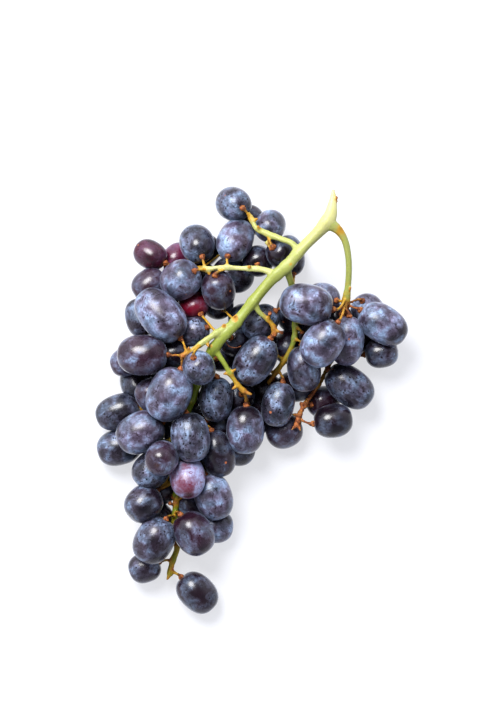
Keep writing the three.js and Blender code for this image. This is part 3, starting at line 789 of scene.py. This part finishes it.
# %% The patterns in the skin
SHIFT = (0.9, 0.4, 0.7)  # metres, a second place in the noise, so that two patterns don't follow each other
STREAK_STRETCH = (1.0, 0.3, 1.0)  # how much slower the streaks change along the berry
NOISES = {  # where it is read, size in mm, detail, roughness and distortion
    "cloud": ("own", 9, 2.0, 0.45, 0.4),  # soft clouds of thicker bloom
    "rub": ("shifted", 6.5, 3.0, 0.45, 0.3),  # rubbed patches
    "mottle": ("own", 2.4, 4.0, 0.65, 0.3),  # the small unevenness in the bloom
    "powder": ("own", 0.9, 3.0, 0.7, 0.0),  # its grain, drawn coarser than the real plates so that it shows
    "loops": ("shifted", 5, 1.0, 0.4, 1.4),  # the loops that fine scratches follow
    "streak": ("stretched", 1.7, 3.0, 0.6, 0.8),  # wiping marks, which run along the berry
    "group": ("shifted", 7, 1.0, 0.5, 0.0),  # the groups that specks come in
}
CELLS = {"speck": ("own", 1.7), "cork": ("shifted", 9)}  # where it is read, and mm between two specks or dots
SPANS = {  # a pattern, its low and high value, and what they give, with an even run in between
    "clouds": ("cloud", 0.32, 0.62, 0.2, 1.0),
    "mottling": ("mottle", 0.34, 0.62, 0.45, 1.0),
    "grains": ("powder", 0.32, 0.64, 0.6, 1.0),
    "thickness": ("wax", 0.0, 1.0, 0.25, 1.0),
    "wiped": ("streak", 0.4, 0.58, 0.45, 1.0),
    "wiped_least": ("wax", 0.6, 1.0, 0.0, 0.72),
    "kept_least": ("wax", 0.3, 1.0, 0.02, 0.22),
    "rub_start": ("wax", 0.0, 1.0, 0.44, 0.6),
    "scratched": ("mottle", 0.42, 0.5, 0.0, 1.0),  # where fine scratches are
    "grouped": ("group", 0.36, 0.58, 0.0, 1.0),  # where specks are
    "crimson": ("plum", 1.05, 1.25, 0.0, 1.0),  # only the crimson berry is so plum-coloured
    "crimson_clouds": ("cloud", 0.38, 0.55, 0.3, 1.0),
    "warmth": ("rub", 0.38, 0.6, 0.0, 1.0),  # of the colour of the bloom
    "scar": ("along", -0.965, -0.99, 0.0, 1.0),  # along is -1 at the flower end
}


def skin_patterns(tree):
    """What a point of the skin knows: its attributes, the patterns and what they give, by name."""
    known = {name: add(tree, "Attribute", out="Fac", attribute_name=name) for name in ATTRIBUTES}
    places = {"own": add(tree, "Attribute", out="Vector", attribute_name="place")}
    places["shifted"] = add(tree, "VectorMath", (places["own"], SHIFT), operation="ADD")
    places["stretched"] = add(tree, "VectorMath", (places["shifted"], STREAK_STRETCH), operation="MULTIPLY")
    for name, (place, size, detail, roughness, distortion) in NOISES.items():
        fineness = {"Scale": 1 / (size * MM), "Detail": detail, "Roughness": roughness}
        noise = {"Vector": places[place], "Distortion": distortion, **fineness}
        known[name] = add(tree, "TexNoise", noise)
    for name, (place, size) in CELLS.items():
        cells = {"Vector": places[place], "Scale": 1 / (size * MM)}
        known[name] = add(tree, "TexVoronoi", cells, out="Distance")
    for name, (pattern, *span) in SPANS.items():
        known[name] = add(tree, "MapRange", (known[pattern], *span))
    return known


print("patterns in the skin:", ", ".join([*NOISES, *CELLS]))

# %% [markdown]
# ## Specks and bloom
# A speck is the middle of a cell, and it shows where the specks come in groups and where the berry has
# many. The bloom is the product of all that thins it: clouds, mottling, grains, streaks, scratches,
# rubbing, a worn end and bare specks. On a waxy berry it is thicker, and wiping and rubbing leave more.

# %% The bare specks
SPECK_EDGE = (0.0, 0.08, 0.0, 1.0)
SPECK_SIZES = (0.0, 1.0, 0.38, 0.24)  # share of the distance between two
SPECK_SOFTNESS = (0.0, 0.09, 0.0, 1.0)


def speck_share(tree, known):
    """How far a point lies inside a bare speck, from 0 to 1."""
    chance = add(tree, "SeparateColor", (known["speck"].node.outputs["Color"],), out="Red")
    many = add(tree, "Math", (known["grouped"], known["specks"]), operation="MULTIPLY")
    here = add(tree, "Math", (many, chance), operation="SUBTRACT")
    here = add(tree, "MapRange", (here, *SPECK_EDGE))
    size = add(tree, "MapRange", (chance, *SPECK_SIZES))
    inside = add(tree, "Math", (size, known["speck"]), operation="SUBTRACT")
    inside = add(tree, "MapRange", (inside, *SPECK_SOFTNESS))
    return add(tree, "Math", (inside, here), operation="MULTIPLY")


print("specks are up to this wide, in mm:", round(2 * SPECK_SIZES[2] * CELLS["speck"][1], 1))

# %% The bloom
SCRATCH = (0.006, 0.024, 0.85, 0.0)  # by the distance from a loop, which is where its noise is in the middle
RUBBED = (-0.19, 0.08, 1.0, 0.0)
RAGGED = 1.3  # how uneven the edge of a worn end is
WORN_SOFTNESS = 0.15
WORN_BLOOM = 0.1
SPECKED = (0.0, 1.0, 1.0, 0.05)


def bloom_share(tree, known, speck, cover, worn_from):
    """How much of the skin the bloom covers at a point, from 0 to 1."""
    layers = [known[name] for name in ("clouds", "mottling", "grains", "thickness")]
    off_loop = add(tree, "Math", (known["loops"], 0.5), operation="SUBTRACT")
    off_loop = add(tree, "Math", (off_loop,), operation="ABSOLUTE")
    scratch = add(tree, "MapRange", (off_loop, *SCRATCH))
    scratch = add(tree, "Math", (scratch, known["scratched"]), operation="MULTIPLY")
    layers.append(add(tree, "Math", (1.0, scratch), operation="SUBTRACT"))
    rubbed = add(tree, "Math", (known["rub"], known["rub_start"]), operation="SUBTRACT")
    kept = add(tree, "MapRange", (rubbed, *RUBBED))
    for left, least in ((known["wiped"], known["wiped_least"]), (kept, known["kept_least"])):
        layers.append(add(tree, "Math", (left, least), operation="MAXIMUM"))
    ragged = add(tree, "Math", (known["rub"], RAGGED, known["worn"]), operation="MULTIPLY_ADD")
    worn_edge = (ragged, worn_from - WORN_SOFTNESS, worn_from + WORN_SOFTNESS, 1.0, WORN_BLOOM)
    layers += [add(tree, "MapRange", worn_edge), add(tree, "MapRange", (speck, *SPECKED))]
    bloom = layers.pop()
    for layer in layers:
        bloom = add(tree, "Math", (bloom, layer), operation="MULTIPLY")
    return add(tree, "Math", (bloom, cover), operation="MULTIPLY", use_clamp=True)


print("least bloom on a worn end:", WORN_BLOOM)

# %% [markdown]
# ## The colours under and over the bloom
# The bare skin goes from blue-black to wine where it ripened unevenly, and one shaded berry among the dark
# ones is crimson. The bloom over it is cool blue in one place and warmer in another. The scar at the flower
# end and the corky dots, which are dead skin, lie over everything.

# %% Skin, bloom, scar and cork
RIPE = (0.1, 0.5, 0.0, 1.0)  # by cloud times plum
CORK_SIZE = 0.11  # the widest dot, as a share of the distance between two
CORK_EDGE = (0.02, 0.045, 0.0, 0.8)


def skin_colour(tree, known, bloom, colours):
    """The colour at a point, from the bare skin, its wine tint, the cool bloom and the warm bloom."""
    bare, wine, cool, warm = [linear(colour) for colour in colours]
    plum = add(tree, "Math", (known["cloud"], known["plum"]), operation="MULTIPLY")
    plum = add(tree, "MapRange", (plum, *RIPE))
    crimson = add(tree, "Math", (known["crimson"], known["crimson_clouds"]), operation="MULTIPLY")
    powder = add(tree, "Mix", {SHARE: known["warmth"], FIRST: cool, SECOND: warm}, **COLOURS)
    chance = add(tree, "SeparateColor", (known["cork"].node.outputs["Color"],), out="Green")
    cork_size = add(tree, "Math", (chance, CORK_SIZE), operation="MULTIPLY")
    dot = add(tree, "Math", (cork_size, known["cork"]), operation="SUBTRACT")
    dot = add(tree, "MapRange", (dot, *CORK_EDGE))
    colour = bare
    under = [(plum, wine), (crimson, linear("#660c24")), (bloom, powder)]
    for share, upper in under + [(known["scar"], linear("#3a2420")), (dot, linear("#a8623a"))]:
        colour = add(tree, "Mix", {SHARE: share, FIRST: colour, SECOND: upper}, **COLOURS)
    return colour


print("widest corky dot in mm:", 2 * CORK_SIZE * CELLS["cork"][1])

# %% [markdown]
# ## Three skins
# The powder is palest where the eye meets the skin at a flat angle, which a sheen gives. Where the bloom is
# thin the skin is smoother, and a clear coat at the rim mirrors the bright walls. The bloom and the edges
# of the specks make a very low relief. Red and lilac berries let a little light into their flesh. The two
# numbers after each skin's colours say how thick its bloom is and how much light goes in; the last one says
# where a worn end starts.

# %% Black, red and lilac grape skin
SKIN_IOR = 1.5  # plant wax over skin
SHEEN = {"Sheen Weight": 0.26, "Sheen Roughness": 0.35, "Sheen Tint": linear("#c9d6f2")}
FLESH = {"Subsurface Radius": (1.0, 0.25, 0.3), "Subsurface Scale": 3 * MM}
COAT_ROUGHNESS = 0.16
COAT_EDGE = (0.55, 0.92, 0.04, 1.0)  # by how flat the eye meets the skin
BLOOM_ROUGHNESS = (0.0, 0.5, 0.26, 0.46)
SPECK_RELIEF = 0.5  # against that of the powder
RELIEF = {"Strength": 0.25, "Distance": 0.1 * MM}
SKINS = {  # name, bare skin, wine tint, cool and warm bloom, cover, light in the flesh, start of a worn end
    "dark": ("black_grape_skin", "#06060d", "#280c1a", "#8a9dba", "#9b92af", 1.52, 0.0, 1.3),
    "red": ("red_grape_skin", "#10050a", "#640d33", "#857496", "#91709a", 1.0, 0.15, 1.3),
    "blush": ("lilac_grape_skin", "#5a2a3a", "#682636", "#9398b8", "#a09cbb", 2.6, 0.1, 1.5),
}


def grape_skin(name, *colours, cover, glow, worn_from):
    """A skin with its bloom, specks and dots."""
    material, tree = new_material(name)
    known = skin_patterns(tree)
    speck = speck_share(tree, known)
    bloom = bloom_share(tree, known, speck, cover, worn_from)
    facing = add(tree, "LayerWeight", {"Blend": 0.5}, out="Facing")
    raised = add(tree, "Math", (speck, SPECK_RELIEF, known["powder"]), operation="MULTIPLY_ADD")
    finish = {
        "Base Color": skin_colour(tree, known, bloom, colours),
        "Roughness": add(tree, "MapRange", (bloom, *BLOOM_ROUGHNESS)),
        "IOR": SKIN_IOR,
        "Normal": add(tree, "Bump", {"Height": raised, **RELIEF}),
        "Subsurface Weight": glow,
        "Coat Weight": add(tree, "MapRange", (facing, *COAT_EDGE)),
        "Coat Roughness": COAT_ROUGHNESS,
    }
    add(tree, "OutputMaterial", (add(tree, "BsdfPrincipled", {**finish, **SHEEN, **FLESH}),))
    return material


skins = {}
for kind, (*looks, cover, glow, worn_from) in SKINS.items():
    skins[kind] = grape_skin(*looks, cover=cover, glow=glow, worn_from=worn_from)
for name, piece in berry_pieces.items():
    piece.data.materials.append(skins[next(b["skin"] for b in berries if b["node"] == name)])
print("skins:", ", ".join(material.name for material in skins.values()))

# %% [markdown]
# ## The stalk
# The stalk grew: its shoots taper and bend, they swell where a small stem leaves, and each small stem
# widens into a warty collar on which the berry sits. Bare collars stay where a berry came off. It is
# easiest to lay tubes along the centre lines and then melt them together: a voxel remesh joins them into
# one skin with soft hollows at the forks, as wood has them. A boolean would leave hard edges there.

# %% Tubes along curves
TUBE_SIDES = 14
STEP = 0.8  # mm between two rings
RIDGES = 3  # low ones, along a shoot
RIDGE_TWIST = 0.12  # radians in each step


def smooth_line(rows):
    """A smooth curve through rows of x, y, height and radius, with a ring at every step."""
    rows = np.array(rows, float)
    ends = np.vstack([2 * rows[0] - rows[1], rows, 2 * rows[-1] - rows[-2]])
    found = []
    for i in range(1, len(ends) - 2):
        p0, p1, p2, p3 = ends[i - 1 : i + 3, :3]
        d0, d1, d2 = [max(math.dist(a, b) ** 0.5, 1e-4) for a, b in ((p0, p1), (p1, p2), (p2, p3))]
        m1 = ((p1 - p0) / d0 - (p2 - p0) / (d0 + d1) + (p2 - p1) / d1) * d1
        m2 = ((p2 - p1) / d1 - (p3 - p1) / (d1 + d2) + (p3 - p2) / d2) * d1
        count = max(2, round(math.dist(p1, p2) / STEP))
        t = np.arange(count)[:, None] / count
        way = p1 + m1 * t + (3 * (p2 - p1) - 2 * m1 - m2) * t**2 + (2 * (p1 - p2) + m1 + m2) * t**3
        found.append(np.hstack([way, ends[i, 3] + (ends[i + 1, 3] - ends[i, 3]) * t]))
    return np.vstack(found + [rows[-1:]])


SIDEWAYS = [0.3, 0.2, 0.93]  # a way that no shoot starts in


def tube(line, thick, ridge_height=0.0):
    """A closed tube along a line with a radius at each point, and with ridges of a share of it."""
    ways = np.gradient(line, axis=0)
    ways = ways / np.linalg.norm(ways, axis=1, keepdims=True)
    across = np.cross(ways[0], SIDEWAYS)
    angles = np.linspace(0, 2 * np.pi, TUBE_SIDES, endpoint=False)
    points = []
    for i, (middle, way) in enumerate(zip(line, ways)):
        across = across - way * (across @ way)
        across = across / np.linalg.norm(across)
        radius = thick[i] * (1 + ridge_height * np.cos(RIDGES * angles + RIDGE_TWIST * i))
        circle = np.outer(np.cos(angles), across) + np.outer(np.sin(angles), np.cross(way, across))
        points.append(middle + circle * radius[:, None])
    count = len(line) * TUBE_SIDES
    faces = ring_faces(0, len(line), TUBE_SIDES, (count, count + 1))
    return np.vstack(points + [line[:1], line[-1:]]), faces


print("sides of a tube:", TUBE_SIDES)

# %% [markdown]
# ## The shoots, with their swellings
# Old shoots are thicker where something leaves them: a little at each small stem, more where a side shoot
# starts, and most at the top fork. Each swelling is a bell curve over the distance, added to the packed
# radius. The rows of stubs give the places where the photograph shows a bare small stem, which swells its
# shoot as well.

# %% Lines and radii of the shoots
SWELL = (0.3, 1.5)  # mm, height and width of the swelling where a small stem leaves
MOST_SWELL = 1.6  # times that height, where several leave together
FORK_SWELL = (0.45, 2.8)  # the same where a side shoot leaves
CROWN = (0.8, 6.5)  # and at the top fork
CROWN_PLACE = (38.3, 91.5, 38.0)
STUBS = [  # x, y, height, heading, tilt and length, and a c if it still has its collar
    "6.9 80.2 30.5 -55 5 5 c", "22 38 21.5 -45 35 6 c", "-21.5 65.5 32.5 -80 0 2.6",
    "-22.5 30.5 37.5 -75 20 3.6", "-14.4 37 37.2 75 30 2.2", "-9.5 41 36.5 60 40 3.2",
    "-11 14.5 33.2 35 20 4.2", "-11 14.5 33.2 190 15 3.6", "-7 8.5 31.5 215 15 4", "-4 5.2 30.2 -20 5 4.5",
    "8 41 33 75 45 5 c", "11.2 36 31.2 -20 25 4.6 c", "11.4 33.5 30.6 200 -10 4", "47.5 54 26.5 60 30 4.5",
    "46.6 50 24.5 -85 35 6 c", "27.5 0 16 200 20 3.6 c", "23.6 -7 17.7 165 25 3.8",
    "22.5 -11 18 -130 20 4.2", "22.5 -11 18 -60 10 4", "-38.2 -52 12.8 160 35 4.2 c",
    "-38.4 -49 13 15 20 5", "41 96 37.2 78 0 7", "-41.3 -86.5 9.2 -115 10 3.4", "-37.6 -72 11 20 30 2.8",
    "4 85.8 29.8 120 40 3", "0.3 90.5 27.6 20 30 3.2", "-32 24.5 38 80 25 3.4", "-1.5 66.4 35.8 80 50 2.4",
]


def spread(values, count):
    """A short list of values, spread evenly over a number of points."""
    return np.interp(np.linspace(0, 1, count), np.linspace(0, 1, len(values)), values)


stubs = [([float(v) for v in row.split()[:6]], row.endswith("c")) for row in STUBS]
stem_roots = np.array([b["root"] for b in berries] + [numbers[:3] for numbers, _ in stubs])
fork_points = np.array([rows[0][:3] for name, rows in SHOOTS.items() if name != "main"])
tubes = []  # line, radii, dryness, paleness, whether it is a shoot
for name, rows in SHOOTS.items():
    rows = smooth_line(rows)
    line, thick = rows[:, :3], rows[:, 3].copy()
    from_roots = np.linalg.norm(line[:, None, :] - stem_roots, axis=-1)
    thick += np.minimum(bell(from_roots, *SWELL).sum(1), MOST_SWELL * SWELL[0])
    thick += bell(np.linalg.norm(line[:, None, :] - fork_points, axis=-1).min(1), *FORK_SWELL)
    thick += bell(np.linalg.norm(line - CROWN_PLACE, axis=1), *CROWN)
    light = spread(PALENESS.get(name, OTHER_PALENESS), len(line))
    tubes.append([line, thick, spread(DRYNESS[name], len(line)), light, True])
shoot_points = np.vstack([t[0] for t in tubes])
shoot_dry = np.concatenate([t[2] for t in tubes])
print("thickest place of a shoot in mm:", round(2 * max(float(t[1].max()) for t in tubes), 1))

# %% [markdown]
# ## Small stems, collars and bare stubs
# A small stem starts with a swollen joint, is thin in the middle and ends in the collar. Its radius is a
# table over the distance from either end. It is yellow on its way and turns to cork towards its end.

# %% Lines and radii of the small stems
COLLAR = [(0.0, 1.5), (0.4, 1.85), (0.9, 1.75), (1.4, 1.15), (2.2, 0.8), (3.6, 0.58)]  # mm to end, radius
ROOT = [(0.0, 1.0), (1.3, 0.9), (2.4, 0.68), (4.0, 0.55)]  # mm from the shoot, radius
STUB_SIZE = 0.7  # of a bare collar, against one with a berry
STUB_TIP = [(0.0, 0.45), (0.5, 0.85), (1.1, 1.0)]  # mm from a bare end, share of the radius
STUB_POINTS = 8
STUB_BEND = (0, 0, 0.8)  # mm, upwards at its end
SEAT = 0.75  # mm that a collar reaches into the dimple of its berry
STEM_PALENESS = 0.5
YELLOW = 0.48  # dryness of a small stem on its way
YELLOW_REACH = 2.0  # mm from the shoot, where it has that dryness
CORK_REACH = 3.0  # mm from its end, where a small stem starts to turn to cork
CORK_TURN = 1.6  # mm, the length of that turn
FULL_CORK, SCAR_CORK = 0.95, 0.68  # dryness of a collar and of a bare end


def profile(table, distance):
    """The radius that a table of distances and radii gives."""
    return np.interp(distance, [d for d, _ in table], [r for _, r in table])


def way_along(line):
    """How far each point of a line is along it."""
    return np.concatenate([[0], np.cumsum(np.linalg.norm(np.diff(line, axis=0), axis=1))])


def add_small_stem(line, collar, size=1.0):
    """Keeps one small stem: its line, radii, and dryness that grows from its shoot to its end."""
    gone = way_along(line)
    left = gone[-1] - gone
    thick = profile(ROOT, gone)
    if collar:
        thick = np.maximum(thick, profile(COLLAR, left / size) * size)
    else:
        thick = thick * profile(STUB_TIP, left)
    at_root = shoot_dry[np.argmin(np.linalg.norm(shoot_points - line[0], axis=1))]
    on_way = np.clip(gone / YELLOW_REACH, 0, 1) * (max(at_root, YELLOW) - at_root) + at_root
    corky = FULL_CORK if collar else SCAR_CORK
    dry = on_way + (corky - on_way) * np.clip((CORK_REACH * size - left) / CORK_TURN, 0, 1)
    tubes.append([line, thick, dry, np.full(len(line), STEM_PALENESS), False])


for berry in berries:
    count = max(6, round(math.dist(berry["root"], berry["corners"][3]) / STEP))
    line = bezier(berry["corners"], np.linspace(0, 1, count))
    seat = np.array(berry["centre"]) + np.array(berry["towards"]) * (berry["length"] / 2 - SEAT)
    add_small_stem(np.vstack([line, [seat]]), True)
for (x, y, height, heading, tilt, length), collar in stubs:
    share = np.linspace(0, 1, STUB_POINTS)[:, None]
    way = np.array(direction(heading, tilt)) * length
    add_small_stem(np.array([x, y, height]) + way * share + STUB_BEND * share**2, collar, STUB_SIZE)
print("tubes:", len(tubes))

# %% [markdown]
# ## Melting the tubes together
# The remesh works on a grid of small cubes. Their side decides how fine the stalk is and how many faces it
# has. After it, a few rounds of smoothing take the steps of the grid away.

# %% One skin for the whole stalk
VOXEL = 0.46  # mm
FATTEN = 0.09  # mm, what the smoothing takes from the radius again
SMOOTHINGS = 3
SHOOT_RIDGE = 0.05  # height of the ridges, as a share of the radius

points, faces = [], []
count = 0
for line, thick, _, _, is_shoot in tubes:
    tube_points, tube_faces = tube(line, thick + FATTEN, SHOOT_RIDGE if is_shoot else 0.0)
    faces += [tuple(v + count for v in face) for face in tube_faces]
    count += len(tube_points)
    points.append(tube_points)
raw_mesh = bpy.data.meshes.new("stalk_tubes")
raw_mesh.from_pydata((np.vstack(points) * MM).tolist(), [], faces)
raw = bpy.data.objects.new("stalk_tubes", raw_mesh)
scene.collection.objects.link(raw)
melt = raw.modifiers.new("melt", "REMESH")
melt.mode = "VOXEL"
melt.voxel_size = VOXEL * MM
ease = raw.modifiers.new("ease", "SMOOTH")
ease.factor = 0.5
ease.iterations = SMOOTHINGS
bpy.context.view_layer.update()
changed = raw.evaluated_get(bpy.context.evaluated_depsgraph_get())
melted = changed.to_mesh()
skin_points = np.empty((len(melted.vertices), 3))
melted.vertices.foreach_get("co", skin_points.ravel())
skin_points = skin_points / MM
skin_normals = np.empty((len(melted.vertices), 3))
melted.vertices.foreach_get("normal", skin_normals.ravel())
skin_faces = [tuple(p.vertices) for p in melted.polygons]
changed.to_mesh_clear()
bpy.data.objects.remove(raw)
print("points and faces of the stalk:", len(skin_points), len(skin_faces))

# %% [markdown]
# ## What each point of the stalk knows
# The material needs to know how dry and how pale the stalk is at a point, and where it lies along and
# around its tube, for fibres that run along it. A search tree over all centre lines finds the tube that a
# point belongs to. A few rows of stains give the brown spots of the photograph.

# %% Dryness, paleness and grain
STAINS = [  # x, y, height, reach and how dry it makes the stalk
    (43.2, 86.0, 37.5, 2.6, 0.5), (42.6, 100.5, 37.3, 2.6, 0.5), (19.3, 68.5, 40.0, 0.9, 0.6),
    (31.5, 80.5, 38.5, 1.3, 0.4), (21.5, 60.5, 34.0, 1.6, 0.5), (-11.0, 43.0, 38.0, 1.2, 0.5),
    (1.5, 56.5, 38.8, 0.8, 0.5), (-38.5, -50.0, 14.5, 2.2, 0.5), (-37.0, -62.0, 12.5, 1.4, 0.5),
    (-38.5, -71.5, 12.5, 1.8, 0.5), (-41.5, -79.0, 11.0, 1.3, 0.5), (-39.5, -84.0, 10.5, 1.2, 0.5),
]
NEIGHBOURS = 6
GRAIN_STRETCH = 0.12  # how much slower the fibres change along the stalk than around it
GRAIN_WAY = (0.6, 0.64, 0.48)  # where the way along a tube points in the grain's own space
GRAIN_APART = 40  # mm in it between two tubes, so that their grains differ


def search_tree(places):
    """A tree that finds the nearest of many places quickly."""
    found = KDTree(len(places))
    for i, place in enumerate(places):
        found.insert(place, i)
    found.balance()
    return found


middles, middle_thick, middle_dry, middle_pale = [np.concatenate([t[k] for t in tubes]) for k in range(4)]
middle_way = np.concatenate([way_along(t[0]) + GRAIN_APART * i for i, t in enumerate(tubes)])
search = search_tree(middles)
nearest = np.empty(len(skin_points), int)
for i, point in enumerate(skin_points):
    found = search.find_n(point, NEIGHBOURS)
    nearest[i] = min(found, key=lambda hit: hit[2] - middle_thick[hit[1]])[1]
dry, pale = middle_dry[nearest], middle_pale[nearest]
off = skin_points - middles[nearest]
grain = off * MM + np.outer(middle_way[nearest] * GRAIN_STRETCH * MM, GRAIN_WAY)
for *spot, reach, amount in STAINS:
    dry = dry + bell(np.linalg.norm(skin_points - spot, axis=1), amount, reach)
print("driest and freshest point:", round(float(dry.max()), 2), round(float(dry.min()), 2))

# %% [markdown]
# ## Painted groove shade, warts and one dried shoot
# Behind each collar runs a groove, and the material paints shade into it with a dark brown. A fine noise
# along the normals gives the rough, warty skin of the collars. One dried shoot, thin as a thread, is added
# at the end, because the remesh would lose it; the same dark brown is the thread's own tone.

# %% The finished stalk
RIM = (1.5, 0.45)  # mm from the berry, and width, of the painted shade in the groove behind a collar
RIM_REACH = 3  # mm around the seat of the berry
ROUGHEN = (0.03, 0.2)  # mm, on a fresh shoot and on a dry collar
ROUGH_DRYNESS = (0.4, 0.9)  # where it starts to grow and where it is full
WART_WAVES = 6
WART_FINENESS = 3.6  # radians in each mm
THREAD = [(-15.5, 32.5, 34.6), (-13.5, 31, 33.8), (-11.6, 28, 33), (-8.5, 27.1, 32.4), (-5.4, 27.9, 32)]
THREAD_R = 0.24
THREAD_LOOK = (1.0, 0.0, 0.6)  # dry, pale, and the painted groove shade, which on the thread is its own brown tone

seats = np.array([b["corners"][3] for b in berries])
seat_ways = np.array([b["towards"] for b in berries])
seat_search = search_tree(seats)
own_seat = np.array([seat_search.find(point)[1] for point in skin_points])
from_seat = skin_points - seats[own_seat]
above = (from_seat * seat_ways[own_seat]).sum(1)
# a bell of painted shade in the groove just behind each collar
rim = np.where(np.linalg.norm(from_seat, axis=1) < RIM_REACH, bell(above - RIM[0], 1, RIM[1]), 0)

chance = np.random.default_rng(7)
waves = 0
for _ in range(WART_WAVES):
    waves += np.sin(skin_points @ chance.normal(size=3) * WART_FINENESS + chance.uniform(0, 6))
rough_height = np.interp(dry, ROUGH_DRYNESS, ROUGHEN)
skin_points = skin_points + skin_normals * (waves / WART_WAVES**0.5 * rough_height)[:, None]

thread = smooth_line([[*point, THREAD_R] for point in THREAD])
thread_points, thread_faces = tube(thread[:, :3], thread[:, 3])
skin_faces += [tuple(v + len(skin_points) for v in face) for face in thread_faces]
skin_points = np.vstack([skin_points, thread_points])
grain = np.vstack([grain, thread_points * MM])
floats = {}
for name, values, in_thread in zip(("dry", "pale", "rim"), (dry, pale, rim), THREAD_LOOK):
    floats[name] = np.append(values, np.full(len(thread_points), in_thread))
stalk = build_piece("grown_stalk", skin_points, skin_faces, {"grain": grain}, floats)
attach(stalk, "root")
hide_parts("stalk")
print("points and faces with the dried shoot:", len(skin_points), len(skin_faces))

# %% [markdown]
# ## The stalk's skin
# Fresh grape wood is green and juicy under a thin, half-glossy skin, and light goes a little way into it.
# Towards the berries it turns yellow, then orange-brown and corky. Fine fibres run along it, and the cut
# end is pale straw.

# %% Green grape wood that turns to cork
WOOD_NOISES = {  # size in mm, detail and roughness
    "fibre": (0.8, 2.0, 0.5),  # the fibres, drawn coarser than real so that they show
    "fleck": (1.5, 4.0, 0.65),  # brown flecks
    "turning": (3.5, 2.0, 0.5),  # how unevenly green turns to brown
}
UNEVEN = (0.3, 0.7, -0.16, 0.16)
YELLOWED = (0.15, 0.5, 0.0, 1.0)  # by dryness
BROWNED = (0.5, 0.85, 0.0, 1.0)  # by dryness
FLECKED = (0.38, 0.62, 0.0, 1.0)
SPOTTED = (0.66, 0.74, 0.0, 0.6)
WOOD_ROUGHNESS = (0.0, 1.0, 0.42, 0.75)  # from fresh to dry
# how far the painted groove shade darkens towards its brown; on the dried thread that brown is its own tone
GROOVE_SHADE_DARKNESS = 0.75
WOOD_IOR = 1.42
SAP = {"Subsurface Weight": 0.25, "Subsurface Radius": (0.8, 1.0, 0.25), "Subsurface Scale": 1.5 * MM}
WOOD_RELIEF = {"Strength": 0.4, "Distance": 0.15 * MM}

grape_wood, tree = new_material("green_grape_wood")
dry_at, pale_at, groove_shade_and_thread_at = [add(tree, "Attribute", out="Fac", attribute_name=name) for name in floats]
where = add(tree, "TexCoord", out="Object")
places = {"fibre": add(tree, "Attribute", out="Vector", attribute_name="grain")}
noises = {}
for name, (size, detail, roughness) in WOOD_NOISES.items():
    fineness = {"Scale": 1 / (size * MM), "Detail": detail, "Roughness": roughness}
    noises[name] = add(tree, "TexNoise", {"Vector": places.get(name, where), **fineness})
uneven = add(tree, "MapRange", (noises["turning"], *UNEVEN))
dryness = add(tree, "Math", (dry_at, uneven), operation="ADD", use_clamp=True)
yellowed = add(tree, "MapRange", (dryness, *YELLOWED))
browned = add(tree, "MapRange", (dryness, *BROWNED))
flecked = add(tree, "MapRange", (noises["fleck"], *FLECKED))
spotted = add(tree, "MapRange", (noises["fleck"], *SPOTTED))
# painted shade in the groove behind each collar, and the own brown tone of the dried thread
groove_shade_and_thread_share = add(tree, "Math", (groove_shade_and_thread_at, GROOVE_SHADE_DARKNESS), operation="MULTIPLY")
cork = add(tree, "Mix", {SHARE: flecked, FIRST: linear("#572d18"), SECOND: linear("#a66639")}, **COLOURS)
colour = linear("#5f6f16")
for share, upper in (
    (noises["fibre"], linear("#85922b")),
    (pale_at, linear("#bfb984")),
    (yellowed, linear("#ab8428")),
    (browned, cork),
    # 3f1e0e is the painted shade of the collar grooves and the dried thread's own brown
    (groove_shade_and_thread_share, linear("#3f1e0e")),
    (spotted, linear("#7a4a22")),
):
    colour = add(tree, "Mix", {SHARE: share, FIRST: colour, SECOND: upper}, **COLOURS)
rough = add(tree, "MapRange", (dryness, *WOOD_ROUGHNESS))
raised = add(tree, "Math", (noises["fleck"], dryness, noises["fibre"]), operation="MULTIPLY_ADD")
bump = add(tree, "Bump", {"Height": raised, **WOOD_RELIEF})
finish = {"Base Color": colour, "Roughness": rough, "IOR": WOOD_IOR, "Normal": bump}
add(tree, "OutputMaterial", (add(tree, "BsdfPrincipled", {**finish, **SAP}),))
stalk.data.materials.append(grape_wood)
print("stalk material:", grape_wood.name)
